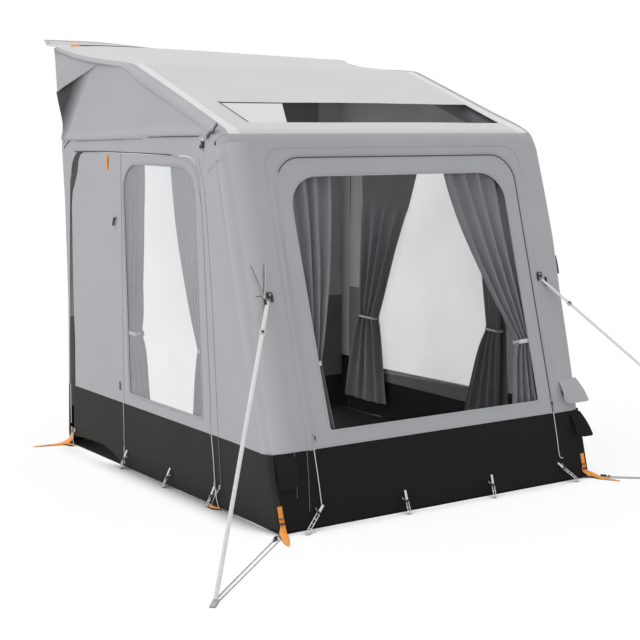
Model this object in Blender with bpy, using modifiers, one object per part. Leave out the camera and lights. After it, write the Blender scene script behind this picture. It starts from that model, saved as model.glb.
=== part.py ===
"""Air-pole porch awning for a caravan: a sloping box of coated cloth on inflated poles.

Plan frame: X to the right as seen from the front, Y from the front wall's foot towards the
caravan, Z up from the ground. Everything hangs on one empty that moves the plan so that the
origin lies under the middle of the awning. All lengths are in metres.
"""

import math

import bmesh
import bpy
from mathutils import Matrix, Vector

# Driving sizes of the whole awning
WIDTH = 2.000
FRONT_TOP_Y = 0.525
FRONT_TOP_Z = 1.867
RIDGE_Y = 1.535
RIDGE_Z = 2.218
RAIL_Y = 2.369
RAIL_Z = 2.349
REAR_FOOT_SETBACK = 0.039
SKIRT_HEIGHT = 0.360
RIGHT_SKIRT_REAR_HEIGHT = 0.290
EAVE_RADIUS = 0.100
RIDGE_RADIUS = 0.300
RAIL_FLARE = 0.0275

# Cloth, film and clearances
CLOTH = 0.003
FILM = 0.001
FIT = 0.0003
ZIP_GAP = 0.0008
FILM_LAP = 0.014
GROUND_LIFT = 0.004
OVERRUN = 0.020
ARC_STEPS = 5

# Front panel and its window
PANEL_STRIP_WIDTH = 0.190
PANEL_TOP_SLANT = 1.810
PANEL_CORNER = 0.150
WINDOW_SIDE_BORDER = 0.090
WINDOW_FOOT_BORDER = 0.079
WINDOW_TOP_SLANT = 1.712
WINDOW_CORNER = 0.160
WINDOW_FOOT_CORNER = 0.012

# Skylight and its blind
SKYLIGHT_LEFT_BORDER = 0.225
SKYLIGHT_RIGHT_BORDER = 0.123
SKYLIGHT_FRONT_SLANT = 0.140
SKYLIGHT_REAR_SLANT = 0.455
SKYLIGHT_CORNER = 0.010
BLIND_FRONT_REACH = 0.221
BLIND_REAR_REACH = 0.404
BLIND_MARGIN = 0.020
BLIND_THICKNESS = 0.002

# Side walls
ZIP_FOOT_Y = 0.660
ZIP_TOP_Y = 0.750
SIDE_PANEL_TOP_Z = 1.745
REAR_STRIP_WIDTH = 0.090
SIDE_PANEL_FRONT_CORNER = 0.150
SIDE_PANEL_REAR_CORNER = 0.080
DOOR_LINE_Y = 1.615
SIDE_WINDOW_FOOT_GAP = 0.070
SIDE_WINDOW_TOP_Z = 1.685
SIDE_WINDOW_CORNER = 0.140
SIDE_WINDOW_FRONT_FOOT_Y = 0.745
SIDE_WINDOW_FRONT_TOP_Y = 0.830
LEFT_WINDOW_REAR_FOOT_BORDER = 0.080
LEFT_WINDOW_REAR_TOP_BORDER = 0.030
RIGHT_WINDOW_REAR_FOOT_BORDER = 0.250
RIGHT_WINDOW_REAR_TOP_BORDER = 0.220

# Rear edge: draught pads, folded wings and the strip that slides into the caravan's rail
PAD_WIDTH = 0.200
PAD_THICKNESS = 0.014
PAD_TOP_DROP = 0.229
PAD_CORNER = 0.040
VALANCE_DROP = 0.489
VALANCE_GAP = 0.004
VALANCE_CLOTH = 0.0025
VALANCE_SETBACK = 0.047
RAIL_ROOF_LAP = 0.009
WING_LENGTH = 0.519
WING_FOOT_REACH = 0.036
WING_DROP = 0.263
WING_TOP_REACH = 0.031
WING_SPREAD = 0.030
WING_EDGE = 0.002
STRIP_OVERHANG = 0.075
STRIP_HEIGHT = 0.034
STRIP_THICKNESS = 0.003
STRIP_REACH = 0.061
BEAD_RADIUS = 0.0035
BEAD_STEPS = 12
EYELET_RADIUS = 0.005
EYELET_INSET = 0.036
EYELET_STEPS = 12

# Inflated poles
POLE_RADIUS = 0.055
POLE_BEVEL_RESOLUTION = 5
CROSS_POLE_RADIUS = 0.040
POLE_BEND_RADIUS = 0.130
RIDGE_BEND_RADIUS = 0.330
POLE_REAR_SETBACK = 0.060

# Curtains, their tracks and tie-backs
CURTAIN_CLOTH = 0.0025
CURTAIN_FOLDS = 4
CURTAIN_COLUMNS_PER_FOLD = 4
CURTAIN_ROWS = 8
CURTAIN_FLAT_WIDTH = 0.480
CURTAIN_LEAD_POWER = 1.5
CURTAIN_FLARE_POWER = 0.7
TIE_BAND_HEIGHT = 0.030
TIE_BAND_REACH = 0.004
TRACK_HEIGHT = 0.010
TRACK_DEPTH = 0.010
BRACKET_WIDTH = 0.014
BRACKET_COUNT = 4
TRACK_OVERHANG = 0.012
FRONT_TRACK_SLANT = 1.738
FRONT_TIE_SLANT = 0.800
FRONT_CURTAIN_FOOT_GAP = 0.026
FRONT_CURTAIN_SIDE_GAP = 0.005
FRONT_CURTAIN_TOP_WIDTH = 0.355
FRONT_CURTAIN_TIE_WIDTH = 0.075
FRONT_CURTAIN_FOOT_WIDTH = 0.130
SIDE_TRACK_Z = 1.705
SIDE_TIE_Z = 0.765
LEFT_CURTAIN_FOOT_GAP = 0.020
RIGHT_CURTAIN_FOOT_Z = 0.150
LEFT_REAR_HEM_INSETS = (-0.015, -0.015, -0.015)
LEFT_REAR_LEAD_INSETS = (0.185, 0.115, 0.235)
RIGHT_REAR_HEM_INSETS = (-0.070, -0.015, -0.100)
RIGHT_REAR_LEAD_INSETS = (0.480, 0.135, 0.220)
LEFT_FRONT_HEM_INSETS = (-0.040, -0.095, -0.095)
LEFT_FRONT_LEAD_INSETS = (0.265, -0.015, 0.040)
RIGHT_FRONT_HEM_INSETS = (-0.040, -0.095, -0.130)
RIGHT_FRONT_LEAD_INSETS = (0.335, 0.005, 0.160)

# Corner flaps on the front wall
FLAP_INNER_INSET = 0.138
FLAP_OUTER_INSET = 0.012
SKIRT_FLAP_LENGTH = 0.140
SKIRT_FLAP_SETBACK = 0.014
SKIRT_FLAP_FLARE = math.radians(28)
VALVE_FLAP_LENGTH = 0.155
VALVE_FLAP_RISE = 0.206
VALVE_FLAP_FLARE = math.radians(32)
FLAP_CLOTH = 0.002
FLAP_CORNER = 0.020

# Inflation valve
VALVE_INSET = 0.075
VALVE_RISE = 0.101
VALVE_FLANGE_RADIUS = 0.021
VALVE_FLANGE_HEIGHT = 0.003
VALVE_NECK_RADIUS = 0.014
VALVE_NECK_HEIGHT = 0.008
VALVE_CAP_RADIUS = 0.017
VALVE_CAP_HEIGHT = 0.007
VALVE_GRIP_WIDTH = 0.006
VALVE_GRIP_HEIGHT = 0.004
VALVE_STEPS = 20

# Zip sliders
SLIDER_WIDTH = 0.014
SLIDER_LENGTH = 0.020
SLIDER_THICKNESS = 0.004
PULL_WIDTH = 0.006
PULL_LENGTH = 0.034
SLIDER_HEIGHT = 0.050

# Peg ladders of moulded webbing
LADDER_WIDTH = 0.018
LADDER_RAIL = 0.0035
LADDER_RUNG = 0.004
LADDER_THICKNESS = 0.003
LADDER_TAB = 0.022
LADDER_GAP_COUNT = 2
FRONT_LADDER_REACH = 0.050
LADDER_TOP_X_SHARES = (-0.752, -0.254, 0.317, 0.790)
LADDER_FOOT_X_SHARES = (-0.915, -0.294, 0.265, 0.869)
LADDER_REACH_SHARES = (1.24, 1.0, 1.0, 0.9)
LADDER_TOP_Z = 0.100
SIDE_LADDERS_Y = (0.620, 1.080, 1.575)
SIDE_LADDER_REACH = 0.045

# Orange corner straps and their buckles
STRAP_WIDTH = 0.027
STRAP_THICKNESS = 0.002
FRONT_STRAP_TOP_Z = 0.125
FRONT_STRAP_INSET = 0.032
FRONT_STRAP_TAIL_SPREAD = 0.075
FRONT_STRAP_TAIL_REACH = 0.167
FRONT_STRAP_GROUND_SPREAD = 0.015
FRONT_STRAP_GROUND_REACH = 0.075
REAR_STRAP_TOP_Z = 0.140
REAR_STRAP_SETBACK = 0.035
REAR_STRAP_TAIL_SPREAD = 0.237
REAR_STRAP_TAIL_REACH = 0.005
REAR_STRAP_GROUND_SPREAD = 0.075
BUCKLE_WIDTH = 0.036
BUCKLE_LENGTH = 0.022
BUCKLE_THICKNESS = 0.004
BUCKLE_SLOT = 0.004
BUCKLE_BAR = 0.003
BUCKLE_TOP_GAP = 0.030

# Guy straps and the return lines on the ground
GUY_INSET = 0.110
GUY_SLANT = 1.127
GUY_FOOT_SPREAD = 0.741
GUY_FOOT_REACH = 0.640
GUY_WIDTH = 0.020
GUY_THICKNESS = 0.0025
GUY_STEPS = 24
GUY_PASSES = 3
GUY_LANDING = 0.014
ANCHOR_WIDTH = 0.030
ANCHOR_LENGTH = 0.034
ANCHOR_THICKNESS = 0.005
ANCHOR_SLOT_WIDTH = 0.020
ANCHOR_SLOT_LENGTH = 0.006
TENSIONER_SHARE = 0.120
TENSIONER_WIDTH = 0.030
TENSIONER_DEPTH = 0.014
TENSIONER_LENGTH = 0.030
TENSIONER_CLEARANCE = 0.0008
GUY_END_LENGTH = 0.080
GUY_END_WIDTH = 0.026
GUY_END_THICKNESS = 0.008
GUY_END_SLOT = 0.008
RETURN_RADIUS = 0.0025
RETURN_HOOK_SPREAD = 0.060
RETURN_HOOK_REACH = 0.050
RETURN_TURN_RADIUS = 0.0125
RETURN_END_SPACING = 0.010
RETURN_SHARE = 0.250
RETURN_STEPS = 12
RETURN_TURN_STEPS = 10

# Places that follow from the sizes above
HALF = WIDTH / 2
PANEL_HALF_WIDTH = HALF - PANEL_STRIP_WIDTH
WINDOW_HALF_WIDTH = PANEL_HALF_WIDTH - WINDOW_SIDE_BORDER
FRONT_CURTAIN_OUTER = WINDOW_HALF_WIDTH - FRONT_CURTAIN_SIDE_GAP
SKYLIGHT_LEFT_X = SKYLIGHT_LEFT_BORDER - HALF
SKYLIGHT_RIGHT_X = HALF - SKYLIGHT_RIGHT_BORDER
STRIP_HALF_WIDTH = HALF + STRIP_OVERHANG
FLAP_INNER_X = HALF - FLAP_INNER_INSET
FLAP_OUTER_X = HALF - FLAP_OUTER_INSET
VALVE_X = HALF - VALVE_INSET
FRONT_STRAP_X = HALF - FRONT_STRAP_INSET
FRONT_STRAP_TAIL_X = HALF + FRONT_STRAP_TAIL_SPREAD
FRONT_STRAP_GROUND_X = HALF + FRONT_STRAP_GROUND_SPREAD
REAR_STRAP_TAIL_X = HALF + REAR_STRAP_TAIL_SPREAD
REAR_STRAP_GROUND_X = HALF + REAR_STRAP_GROUND_SPREAD
GUY_X = HALF - GUY_INSET
GUY_FOOT_X = HALF + GUY_FOOT_SPREAD
RETURN_HOOK_X = HALF + RETURN_HOOK_SPREAD
FRONT_SLANT = math.hypot(FRONT_TOP_Y, FRONT_TOP_Z)
FRONT_LEAN = math.atan2(FRONT_TOP_Y, FRONT_TOP_Z)
FRONT_ROOF_PITCH = math.atan2(RIDGE_Z - FRONT_TOP_Z, RIDGE_Y - FRONT_TOP_Y)
REAR_ROOF_PITCH = math.atan2(RAIL_Z - RIDGE_Z, RAIL_Y - RIDGE_Y)
SKIRT_SLANT = SKIRT_HEIGHT / math.cos(FRONT_LEAN)
WINDOW_FOOT_SLANT = SKIRT_SLANT + WINDOW_FOOT_BORDER
FRONT_CURTAIN_FOOT_SLANT = SKIRT_SLANT + FRONT_CURTAIN_FOOT_GAP
LEFT_CURTAIN_FOOT_Z = SKIRT_HEIGHT + LEFT_CURTAIN_FOOT_GAP
SKIRT_FLAP_TOP_SLANT = SKIRT_SLANT - SKIRT_FLAP_SETBACK
VALVE_FLAP_TOP_SLANT = SKIRT_SLANT + VALVE_FLAP_RISE
VALVE_SLANT = SKIRT_SLANT + VALVE_RISE
REAR_FOOT_Y = RAIL_Y - REAR_FOOT_SETBACK
SIDE_PANEL_REAR_Y = REAR_FOOT_Y - REAR_STRIP_WIDTH
LEFT_WINDOW_REAR_FOOT_Y = DOOR_LINE_Y - LEFT_WINDOW_REAR_FOOT_BORDER
LEFT_WINDOW_REAR_TOP_Y = DOOR_LINE_Y - LEFT_WINDOW_REAR_TOP_BORDER
RIGHT_WINDOW_REAR_FOOT_Y = SIDE_PANEL_REAR_Y - RIGHT_WINDOW_REAR_FOOT_BORDER
RIGHT_WINDOW_REAR_TOP_Y = SIDE_PANEL_REAR_Y - RIGHT_WINDOW_REAR_TOP_BORDER
WING_FRONT_Y = RAIL_Y - WING_LENGTH
WING_TOP_Y = RAIL_Y + WING_TOP_REACH
WING_FOOT_Y = RAIL_Y + WING_FOOT_REACH
WING_FOOT_Z = RAIL_Z - WING_DROP
PAD_TOP_Z = RAIL_Z - PAD_TOP_DROP
STRIP_REAR_Y = RAIL_Y + STRIP_REACH
REAR_STRAP_Y = REAR_FOOT_Y - REAR_STRAP_SETBACK
REAR_STRAP_TAIL_Y = REAR_FOOT_Y + REAR_STRAP_TAIL_REACH
LAYER = CLOTH + FIT
ORIGIN_SHIFT = (FRONT_STRAP_TAIL_REACH - STRIP_REAR_Y) / 2


def front_y(height):
    """Y of the front wall's outer face at a height."""
    return height * math.tan(FRONT_LEAN)


def skirt_top(side, y):
    """Height of a side skirt's top edge at a place along the wall."""
    if side < 0:
        return SKIRT_HEIGHT
    share = (y - front_y(SKIRT_HEIGHT)) / (REAR_FOOT_Y - front_y(SKIRT_HEIGHT))
    return SKIRT_HEIGHT + (RIGHT_SKIRT_REAR_HEIGHT - SKIRT_HEIGHT) * share


def zip_y(height):
    """Y of the side panel's sloping front zip at a height."""
    share = (height - SKIRT_HEIGHT) / (SIDE_PANEL_TOP_Z - SKIRT_HEIGHT)
    return ZIP_FOOT_Y + (ZIP_TOP_Y - ZIP_FOOT_Y) * share


def plane(origin, x_axis, y_axis):
    """Matrix of a flat working plane from its origin and two of its axes."""
    x = Vector(x_axis).normalized()
    y = Vector(y_axis).normalized()
    z = x.cross(y).normalized()
    y = z.cross(x)
    matrix = Matrix((x, y, z)).transposed().to_4x4()
    matrix.translation = Vector(origin)
    return matrix


FRONT = plane((0, 0, 0), (1, 0, 0), (0, math.sin(FRONT_LEAN), math.cos(FRONT_LEAN)))
ROOF = plane(
    (0, FRONT_TOP_Y, FRONT_TOP_Z),
    (1, 0, 0),
    (0, math.cos(FRONT_ROOF_PITCH), math.sin(FRONT_ROOF_PITCH)),
)


def side_plane(side):
    """Plane of a side wall: its x runs along plan Y, its y up and its z along plan X."""
    return plane((side * HALF, 0, 0), (0, 1, 0), (0, 0, 1))


# Building tools


def clear_scene():
    for item in list(bpy.data.objects):
        bpy.data.objects.remove(item, do_unlink=True)
    for item in list(bpy.data.collections):
        bpy.data.collections.remove(item)


def collection(name):
    made = bpy.data.collections.new(name)
    bpy.context.scene.collection.children.link(made)
    return made


def empty(name, location=(0, 0, 0), parent=None):
    """An empty at a plan position, which carries the pieces of one joint."""
    made = bpy.data.objects.new(name, None)
    PARTS.objects.link(made)
    made.parent = parent
    made.location = Vector(location)
    if parent is not None:
        made.location = Vector(location) - plan_of(parent)
    return made


def plan_of(item):
    """Plan position of an empty, summed up through its parents."""
    place = Vector((0, 0, 0))
    while item is not None and item is not BASE:
        place += item.location
        item = item.parent
    return place


def attach(item, parent, material):
    """Parents a piece that was placed in the plan frame, and gives it its material."""
    item.parent = parent
    item.location = item.location - plan_of(parent)
    if not item.data.materials:
        item.data.materials.append(material)
    return item


def material(name, color, roughness, metallic=0.0, alpha=1.0):
    made = bpy.data.materials.new(name)
    made.use_nodes = True
    shader = made.node_tree.nodes["Principled BSDF"]
    shader.inputs["Base Color"].default_value = (*color, 1.0)
    shader.inputs["Roughness"].default_value = roughness
    shader.inputs["Metallic"].default_value = metallic
    shader.inputs["Alpha"].default_value = alpha
    return made


def rounded(corners, steps=ARC_STEPS):
    """Points of an outline whose corners (x, y, radius) are arcs."""
    points = []
    count = len(corners)
    for index, (x, y, radius) in enumerate(corners):
        corner = Vector((x, y))
        if radius <= 0:
            points.append(corner)
            continue
        before = (Vector(corners[index - 1][:2]) - corner).normalized()
        after = (Vector(corners[(index + 1) % count][:2]) - corner).normalized()
        half = before.angle(after) / 2
        reach = radius / math.tan(half)
        middle = corner + (before + after).normalized() * radius / math.sin(half)
        start = corner + before * reach - middle
        end = corner + after * reach - middle
        turn = start.angle_signed(end)
        for step in range(steps + 1):
            points.append(middle + Matrix.Rotation(-turn * step / steps, 2) @ start)
    return points


def inset(corners, distances):
    """Moves each edge of an outline inwards; edge i runs from corner i to the next one."""
    count = len(corners)
    area = 0
    for index in range(count):
        here, there = corners[index], corners[(index + 1) % count]
        area += here[0] * there[1] - there[0] * here[1]
    turn = 1 if area > 0 else -1
    lines = []
    for index in range(count):
        here = Vector(corners[index][:2])
        run = (Vector(corners[(index + 1) % count][:2]) - here).normalized()
        inward = Vector((-run.y, run.x)) * turn
        lines.append((here + inward * distances[index], run))
    moved = []
    for index in range(count):
        first, run = lines[index - 1]
        second, other = lines[index]
        cross = run.x * other.y - run.y * other.x
        gap = second - first
        along = (gap.x * other.y - gap.y * other.x) / cross
        point = first + run * along
        radius = corners[index][2]
        if radius > 0:
            radius -= distances[index]
        moved.append((point.x, point.y, radius))
    return moved


def flat_curve(name, outlines, thickness):
    """A flat outline with holes, as a filled 2D curve with an extrude."""
    data = bpy.data.curves.new(name, "CURVE")
    data.dimensions = "2D"
    data.fill_mode = "BOTH"
    data.extrude = thickness / 2
    for outline in outlines:
        spline = data.splines.new("POLY")
        spline.points.add(len(outline) - 1)
        for point, place in zip(spline.points, outline):
            point.co = (place[0], place[1], 0, 1)
        spline.use_cyclic_u = True
    return data


def plate(name, outlines, thickness, frame, depth, look, parent):
    """A flat piece whose middle lies at a depth along its plane's z."""
    item = bpy.data.objects.new(name, flat_curve(name, outlines, thickness))
    PARTS.objects.link(item)
    item.matrix_world = frame @ Matrix.Translation((0, 0, depth))
    return attach(item, parent, look)


def as_mesh(item):
    """Turns a curve object into a welded mesh object at the same place."""
    bpy.context.view_layer.update()
    evaluated = item.evaluated_get(bpy.context.evaluated_depsgraph_get())
    data = bpy.data.meshes.new_from_object(evaluated)
    data.transform(item.matrix_world)
    made = bmesh.new()
    made.from_mesh(data)
    bmesh.ops.remove_doubles(made, verts=made.verts, dist=FIT / 10)
    made.to_mesh(data)
    made.free()
    bpy.data.objects.remove(item, do_unlink=True)
    return data


def mesh_item(name, data, look, parent, round_piece=False):
    """A piece from a mesh in world space; the piece is then set on its empty."""
    bpy.context.view_layer.update()
    anchor = parent.matrix_world.inverted()
    data.transform(anchor)
    item = bpy.data.objects.new(name, data)
    PARTS.objects.link(item)
    item.parent = parent
    data.materials.clear()
    data.materials.append(look)
    if round_piece:
        data.shade_smooth()
        data.set_sharp_from_angle(angle=math.radians(40))
    return item


def piece(name, item, look, parent, round_piece=False):
    """Applies a loose item as a named piece."""
    return mesh_item(name, as_mesh(item), look, parent, round_piece)


def loose_plate(outlines, thickness, frame, depth=0.0):
    """A plate that a group takes up."""
    item = bpy.data.objects.new("loose", flat_curve("loose", outlines, thickness))
    PARTS.objects.link(item)
    item.matrix_world = BASE_MATRIX @ frame @ Matrix.Translation((0, 0, depth))
    return item


def loose_tube(points, radius, resolution):
    """A tube with closed ends along plan points, in world space."""
    data = bpy.data.curves.new("loose", "CURVE")
    data.dimensions = "3D"
    data.bevel_depth = radius
    data.bevel_resolution = resolution
    data.use_fill_caps = True
    spline = data.splines.new("POLY")
    spline.points.add(len(points) - 1)
    for point, place in zip(spline.points, points):
        point.co = (*place, 1)
    item = bpy.data.objects.new("loose", data)
    PARTS.objects.link(item)
    item.matrix_world = BASE_MATRIX
    return item


def loose_mesh(fill):
    """A mesh object in world space, filled by a function that takes a bmesh in plan places."""
    made = bmesh.new()
    fill(made)
    bmesh.ops.recalc_face_normals(made, faces=made.faces)
    data = bpy.data.meshes.new("loose")
    made.to_mesh(data)
    made.free()
    item = bpy.data.objects.new("loose", data)
    PARTS.objects.link(item)
    item.matrix_world = BASE_MATRIX
    return item


def fuse(name, items, look, parent, round_piece=False):
    """Joins loose items that overlap, such as cloth and what is sewn to it, into one piece."""
    return cut(name, items[0], items[1:], look, parent, round_piece, "UNION")


def cut(name, body, cutters, look, parent, round_piece=False, operation="DIFFERENCE"):
    """Cuts loose cutters out of a loose body and applies the result as a new piece."""
    target = bpy.data.objects.new(name + "_blank", as_mesh(body))
    CUTTERS.objects.link(target)
    for index, cutter in enumerate(cutters):
        data = as_mesh(cutter)
        tool = bpy.data.objects.new(f"{name}_cutter_{index}", data)
        CUTTERS.objects.link(tool)
        tool.hide_render = True
        tool.display_type = "WIRE"
        modifier = target.modifiers.new("cut", "BOOLEAN")
        modifier.operation = operation
        modifier.solver = "EXACT"
        modifier.object = tool
    bpy.context.view_layer.update()
    evaluated = target.evaluated_get(bpy.context.evaluated_depsgraph_get())
    data = bpy.data.meshes.new_from_object(evaluated)
    for tool in [m.object for m in target.modifiers]:
        bpy.data.objects.remove(tool, do_unlink=True)
    bpy.data.objects.remove(target, do_unlink=True)
    return mesh_item(name, data, look, parent, round_piece)


def triangulate(data):
    """Splits a mesh's faces into triangles, since the faces of folded cloth aren't flat."""
    made = bmesh.new()
    made.from_mesh(data)
    bmesh.ops.triangulate(made, faces=made.faces)
    made.to_mesh(data)
    made.free()


def ring(radius, steps, centre=(0, 0)):
    """Points of a circle."""
    turns = (2 * math.pi * step / steps for step in range(steps))
    return [(centre[0] + radius * math.cos(a), centre[1] + radius * math.sin(a)) for a in turns]


def box_outline(width, length, centre=(0, 0), corner=0.0):
    x, y = width / 2, length / 2
    corners = [(-x, -y), (x, -y), (x, y), (-x, y)]
    placed = [(centre[0] + a, centre[1] + b, corner) for a, b in corners]
    return rounded(placed)


def turned(profile, steps, frame):
    """A turned solid about its plane's z, from (radius, height) pairs, outer side from the top."""
    item = bpy.data.objects.new("loose", bpy.data.meshes.new("loose"))
    made = bmesh.new()
    verts = [made.verts.new((radius, 0, height)) for radius, height in profile]
    for first, second in zip(verts, verts[1:]):
        made.edges.new((first, second))
    made.to_mesh(item.data)
    made.free()
    PARTS.objects.link(item)
    item.matrix_world = BASE_MATRIX @ frame
    screw = item.modifiers.new("turn", "SCREW")
    screw.steps = steps
    screw.render_steps = steps
    screw.use_merge_vertices = True
    screw.merge_threshold = FIT / 10
    return item


# Outer cloth


def side_corners():
    """The side view's outline above the skirt, from the front foot up, over and down."""
    return [
        (front_y(SKIRT_HEIGHT), SKIRT_HEIGHT, 0),
        (FRONT_TOP_Y, FRONT_TOP_Z, EAVE_RADIUS),
        (RIDGE_Y, RIDGE_Z, RIDGE_RADIUS),
        (RAIL_Y, RAIL_Z, 0),
        (REAR_FOOT_Y, 0, 0),
    ]


def half_span(y):
    """Half the roof's width at a place: it flares from the ridge to the rail."""
    share = max(0.0, (y - RIDGE_Y) / (RAIL_Y - RIDGE_Y))
    return HALF + RAIL_FLARE * share


def tangent_points(corners, index, steps=ARC_STEPS):
    """Arc points of one rounded corner of an outline."""
    sharp = [(x, y, radius if at == index else 0) for at, (x, y, radius) in enumerate(corners)]
    return rounded(sharp, steps)[index : index + steps + 1]


def make_roofs():
    """Front roof with its eave arc, and the rear roof from the ridge seam to the rail."""
    outer = side_corners()
    inner = inset(outer, [CLOTH, CLOTH, CLOTH, 0, 0])
    seam = 2 * FIT
    eave_out = tangent_points(outer, 1)
    eave_in = tangent_points(inner, 1)
    ridge_out = tangent_points(outer, 2)
    ridge_in = tangent_points(inner, 2)
    front = eave_out + [ridge_out[0]] + [ridge_in[0]] + list(reversed(eave_in))
    rear_end_out = Vector(outer[3][:2])
    rear_end_in = Vector(inner[3][:2])
    rear = ridge_out + [rear_end_out, rear_end_in] + list(reversed(ridge_in))
    run = (ridge_out[0] - Vector(outer[1][:2])).normalized()
    front[len(eave_out)] = ridge_out[0] - run * seam
    front[len(eave_out) + 1] = ridge_in[0] - run * seam

    blank = loose_plate([front], WIDTH, plane((0, 0, 0), (0, 1, 0), (0, 0, 1)))
    opening = skylight_outline(0.0)
    cutter = loose_plate([opening], 2 * OVERRUN, ROOF)
    cut("front_roof", blank, [cutter], LIGHT_CLOTH, BASE)

    def fill(made):
        rows = []
        for side in (-1, 1):
            rows.append([made.verts.new((side * half_span(p.x), p.x, p.y)) for p in rear])
        count = len(rear)
        for index in range(count):
            after = (index + 1) % count
            made.faces.new((rows[0][index], rows[0][after], rows[1][after], rows[1][index]))
        made.faces.new(rows[0])
        made.faces.new(list(reversed(rows[1])))

    fuse("rear_roof", [loose_mesh(fill), rear_valance()], LIGHT_CLOTH, BASE)


def rear_valance():
    """A flap that hangs inside the rear of the roof, between the two draught pads."""
    half = HALF - CLOTH - PAD_WIDTH - VALANCE_GAP
    y = RAIL_Y - VALANCE_SETBACK
    upright = plane((0, y, 0), (1, 0, 0), (0, 0, 1))
    height = VALANCE_DROP - RAIL_ROOF_LAP
    outline = box_outline(2 * half, height, (0, RAIL_Z - VALANCE_DROP + height / 2))
    return loose_plate([outline], VALANCE_CLOTH, upright)


def skylight_outline(margin):
    return rounded(
        [
            (SKYLIGHT_LEFT_X - margin, SKYLIGHT_FRONT_SLANT - margin, SKYLIGHT_CORNER),
            (SKYLIGHT_RIGHT_X + margin, SKYLIGHT_FRONT_SLANT - margin, SKYLIGHT_CORNER),
            (SKYLIGHT_RIGHT_X + margin, SKYLIGHT_REAR_SLANT + margin, SKYLIGHT_CORNER),
            (SKYLIGHT_LEFT_X - margin, SKYLIGHT_REAR_SLANT + margin, SKYLIGHT_CORNER),
        ],
        2,
    )


def make_skylight():
    """Clear film under the roof's opening, and a cloth blind that slides below it on two tracks."""
    film_depth = -(LAYER + FILM / 2)
    plate("skylight_film", [skylight_outline(FILM_LAP)], FILM, ROOF, film_depth, CLEAR, BASE)
    low = SKYLIGHT_FRONT_SLANT - BLIND_MARGIN
    high = SKYLIGHT_REAR_SLANT + BLIND_MARGIN
    left = SKYLIGHT_LEFT_X - FILM_LAP
    blind = [
        (left, low),
        (SKYLIGHT_LEFT_X + BLIND_FRONT_REACH, low),
        (SKYLIGHT_LEFT_X + BLIND_REAR_REACH, high),
        (left, high),
    ]
    top = LAYER + FILM + FIT
    slide = empty("blind_slide", ROOF @ Vector((left, low, -top)), BASE)
    blind_depth = -(top + FIT + BLIND_THICKNESS / 2)
    plate("skylight_blind", [blind], BLIND_THICKNESS, ROOF, blind_depth, LIGHT_CLOTH, slide)


def front_rectangle(half_width, low, high, corner, foot_corner):
    return rounded(
        [
            (-half_width, low, foot_corner),
            (half_width, low, foot_corner),
            (half_width, high, corner),
            (-half_width, high, corner),
        ]
    )


def make_front():
    """Fixed cloth round the front, the zipped panel with its window, and the skirt below."""
    eave_reach = EAVE_RADIUS * math.tan((math.pi / 2 - FRONT_LEAN - FRONT_ROOF_PITCH) / 2)
    top = FRONT_SLANT - eave_reach - FIT
    gap = ZIP_GAP
    surround = rounded(
        [
            (-HALF, SKIRT_SLANT, 0),
            (-PANEL_HALF_WIDTH - gap, SKIRT_SLANT, 0),
            (-PANEL_HALF_WIDTH - gap, PANEL_TOP_SLANT + gap, PANEL_CORNER + gap),
            (PANEL_HALF_WIDTH + gap, PANEL_TOP_SLANT + gap, PANEL_CORNER + gap),
            (PANEL_HALF_WIDTH + gap, SKIRT_SLANT, 0),
            (HALF, SKIRT_SLANT, 0),
            (HALF, top, 0),
            (-HALF, top, 0),
        ]
    )
    middle = -CLOTH / 2
    pieces = [loose_plate([surround], CLOTH, FRONT, middle)]
    thick = ANCHOR_THICKNESS + CLOTH / 2
    for side in (-1, 1):
        at = FRONT @ Matrix.Translation((side * GUY_X, GUY_SLANT, ANCHOR_THICKNESS - thick / 2))
        slot = box_outline(ANCHOR_SLOT_WIDTH, ANCHOR_SLOT_LENGTH)
        pieces.append(loose_plate([box_outline(ANCHOR_WIDTH, ANCHOR_LENGTH), slot], thick, at))
    fuse("front_surround", pieces, GREY_CLOTH, BASE)

    hinge = empty("front_panel_hinge", FRONT @ Vector((0, SKIRT_SLANT, 0)), BASE)
    panel = front_rectangle(PANEL_HALF_WIDTH, SKIRT_SLANT + FIT, PANEL_TOP_SLANT, PANEL_CORNER, 0)
    window = front_rectangle(
        WINDOW_HALF_WIDTH, WINDOW_FOOT_SLANT, WINDOW_TOP_SLANT, WINDOW_CORNER, WINDOW_FOOT_CORNER
    )
    film = front_rectangle(
        WINDOW_HALF_WIDTH + FILM_LAP,
        WINDOW_FOOT_SLANT - FILM_LAP,
        WINDOW_TOP_SLANT + FILM_LAP,
        WINDOW_CORNER + FILM_LAP,
        WINDOW_FOOT_CORNER + FILM_LAP,
    )
    plate("front_panel", [panel, window], CLOTH, FRONT, middle, GREY_CLOTH, hinge)
    plate("front_window_film", [film], FILM, FRONT, -(LAYER + FILM / 2), CLEAR, hinge)

    low = CLOTH * math.tan(FRONT_LEAN)
    skirt = [(-HALF, low), (HALF, low), (HALF, SKIRT_SLANT - FIT), (-HALF, SKIRT_SLANT - FIT)]
    plate("front_skirt", [skirt], CLOTH, FRONT, middle, BLACK_CLOTH, BASE)
    return hinge


def side_plate(name, outlines, side, depth, thickness, look, parent):
    """A piece in a side wall: depth is measured inwards from the wall's outer face."""
    middle = -side * (depth + thickness / 2)
    return plate(name, outlines, thickness, side_plane(side), middle, look, parent)


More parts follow.
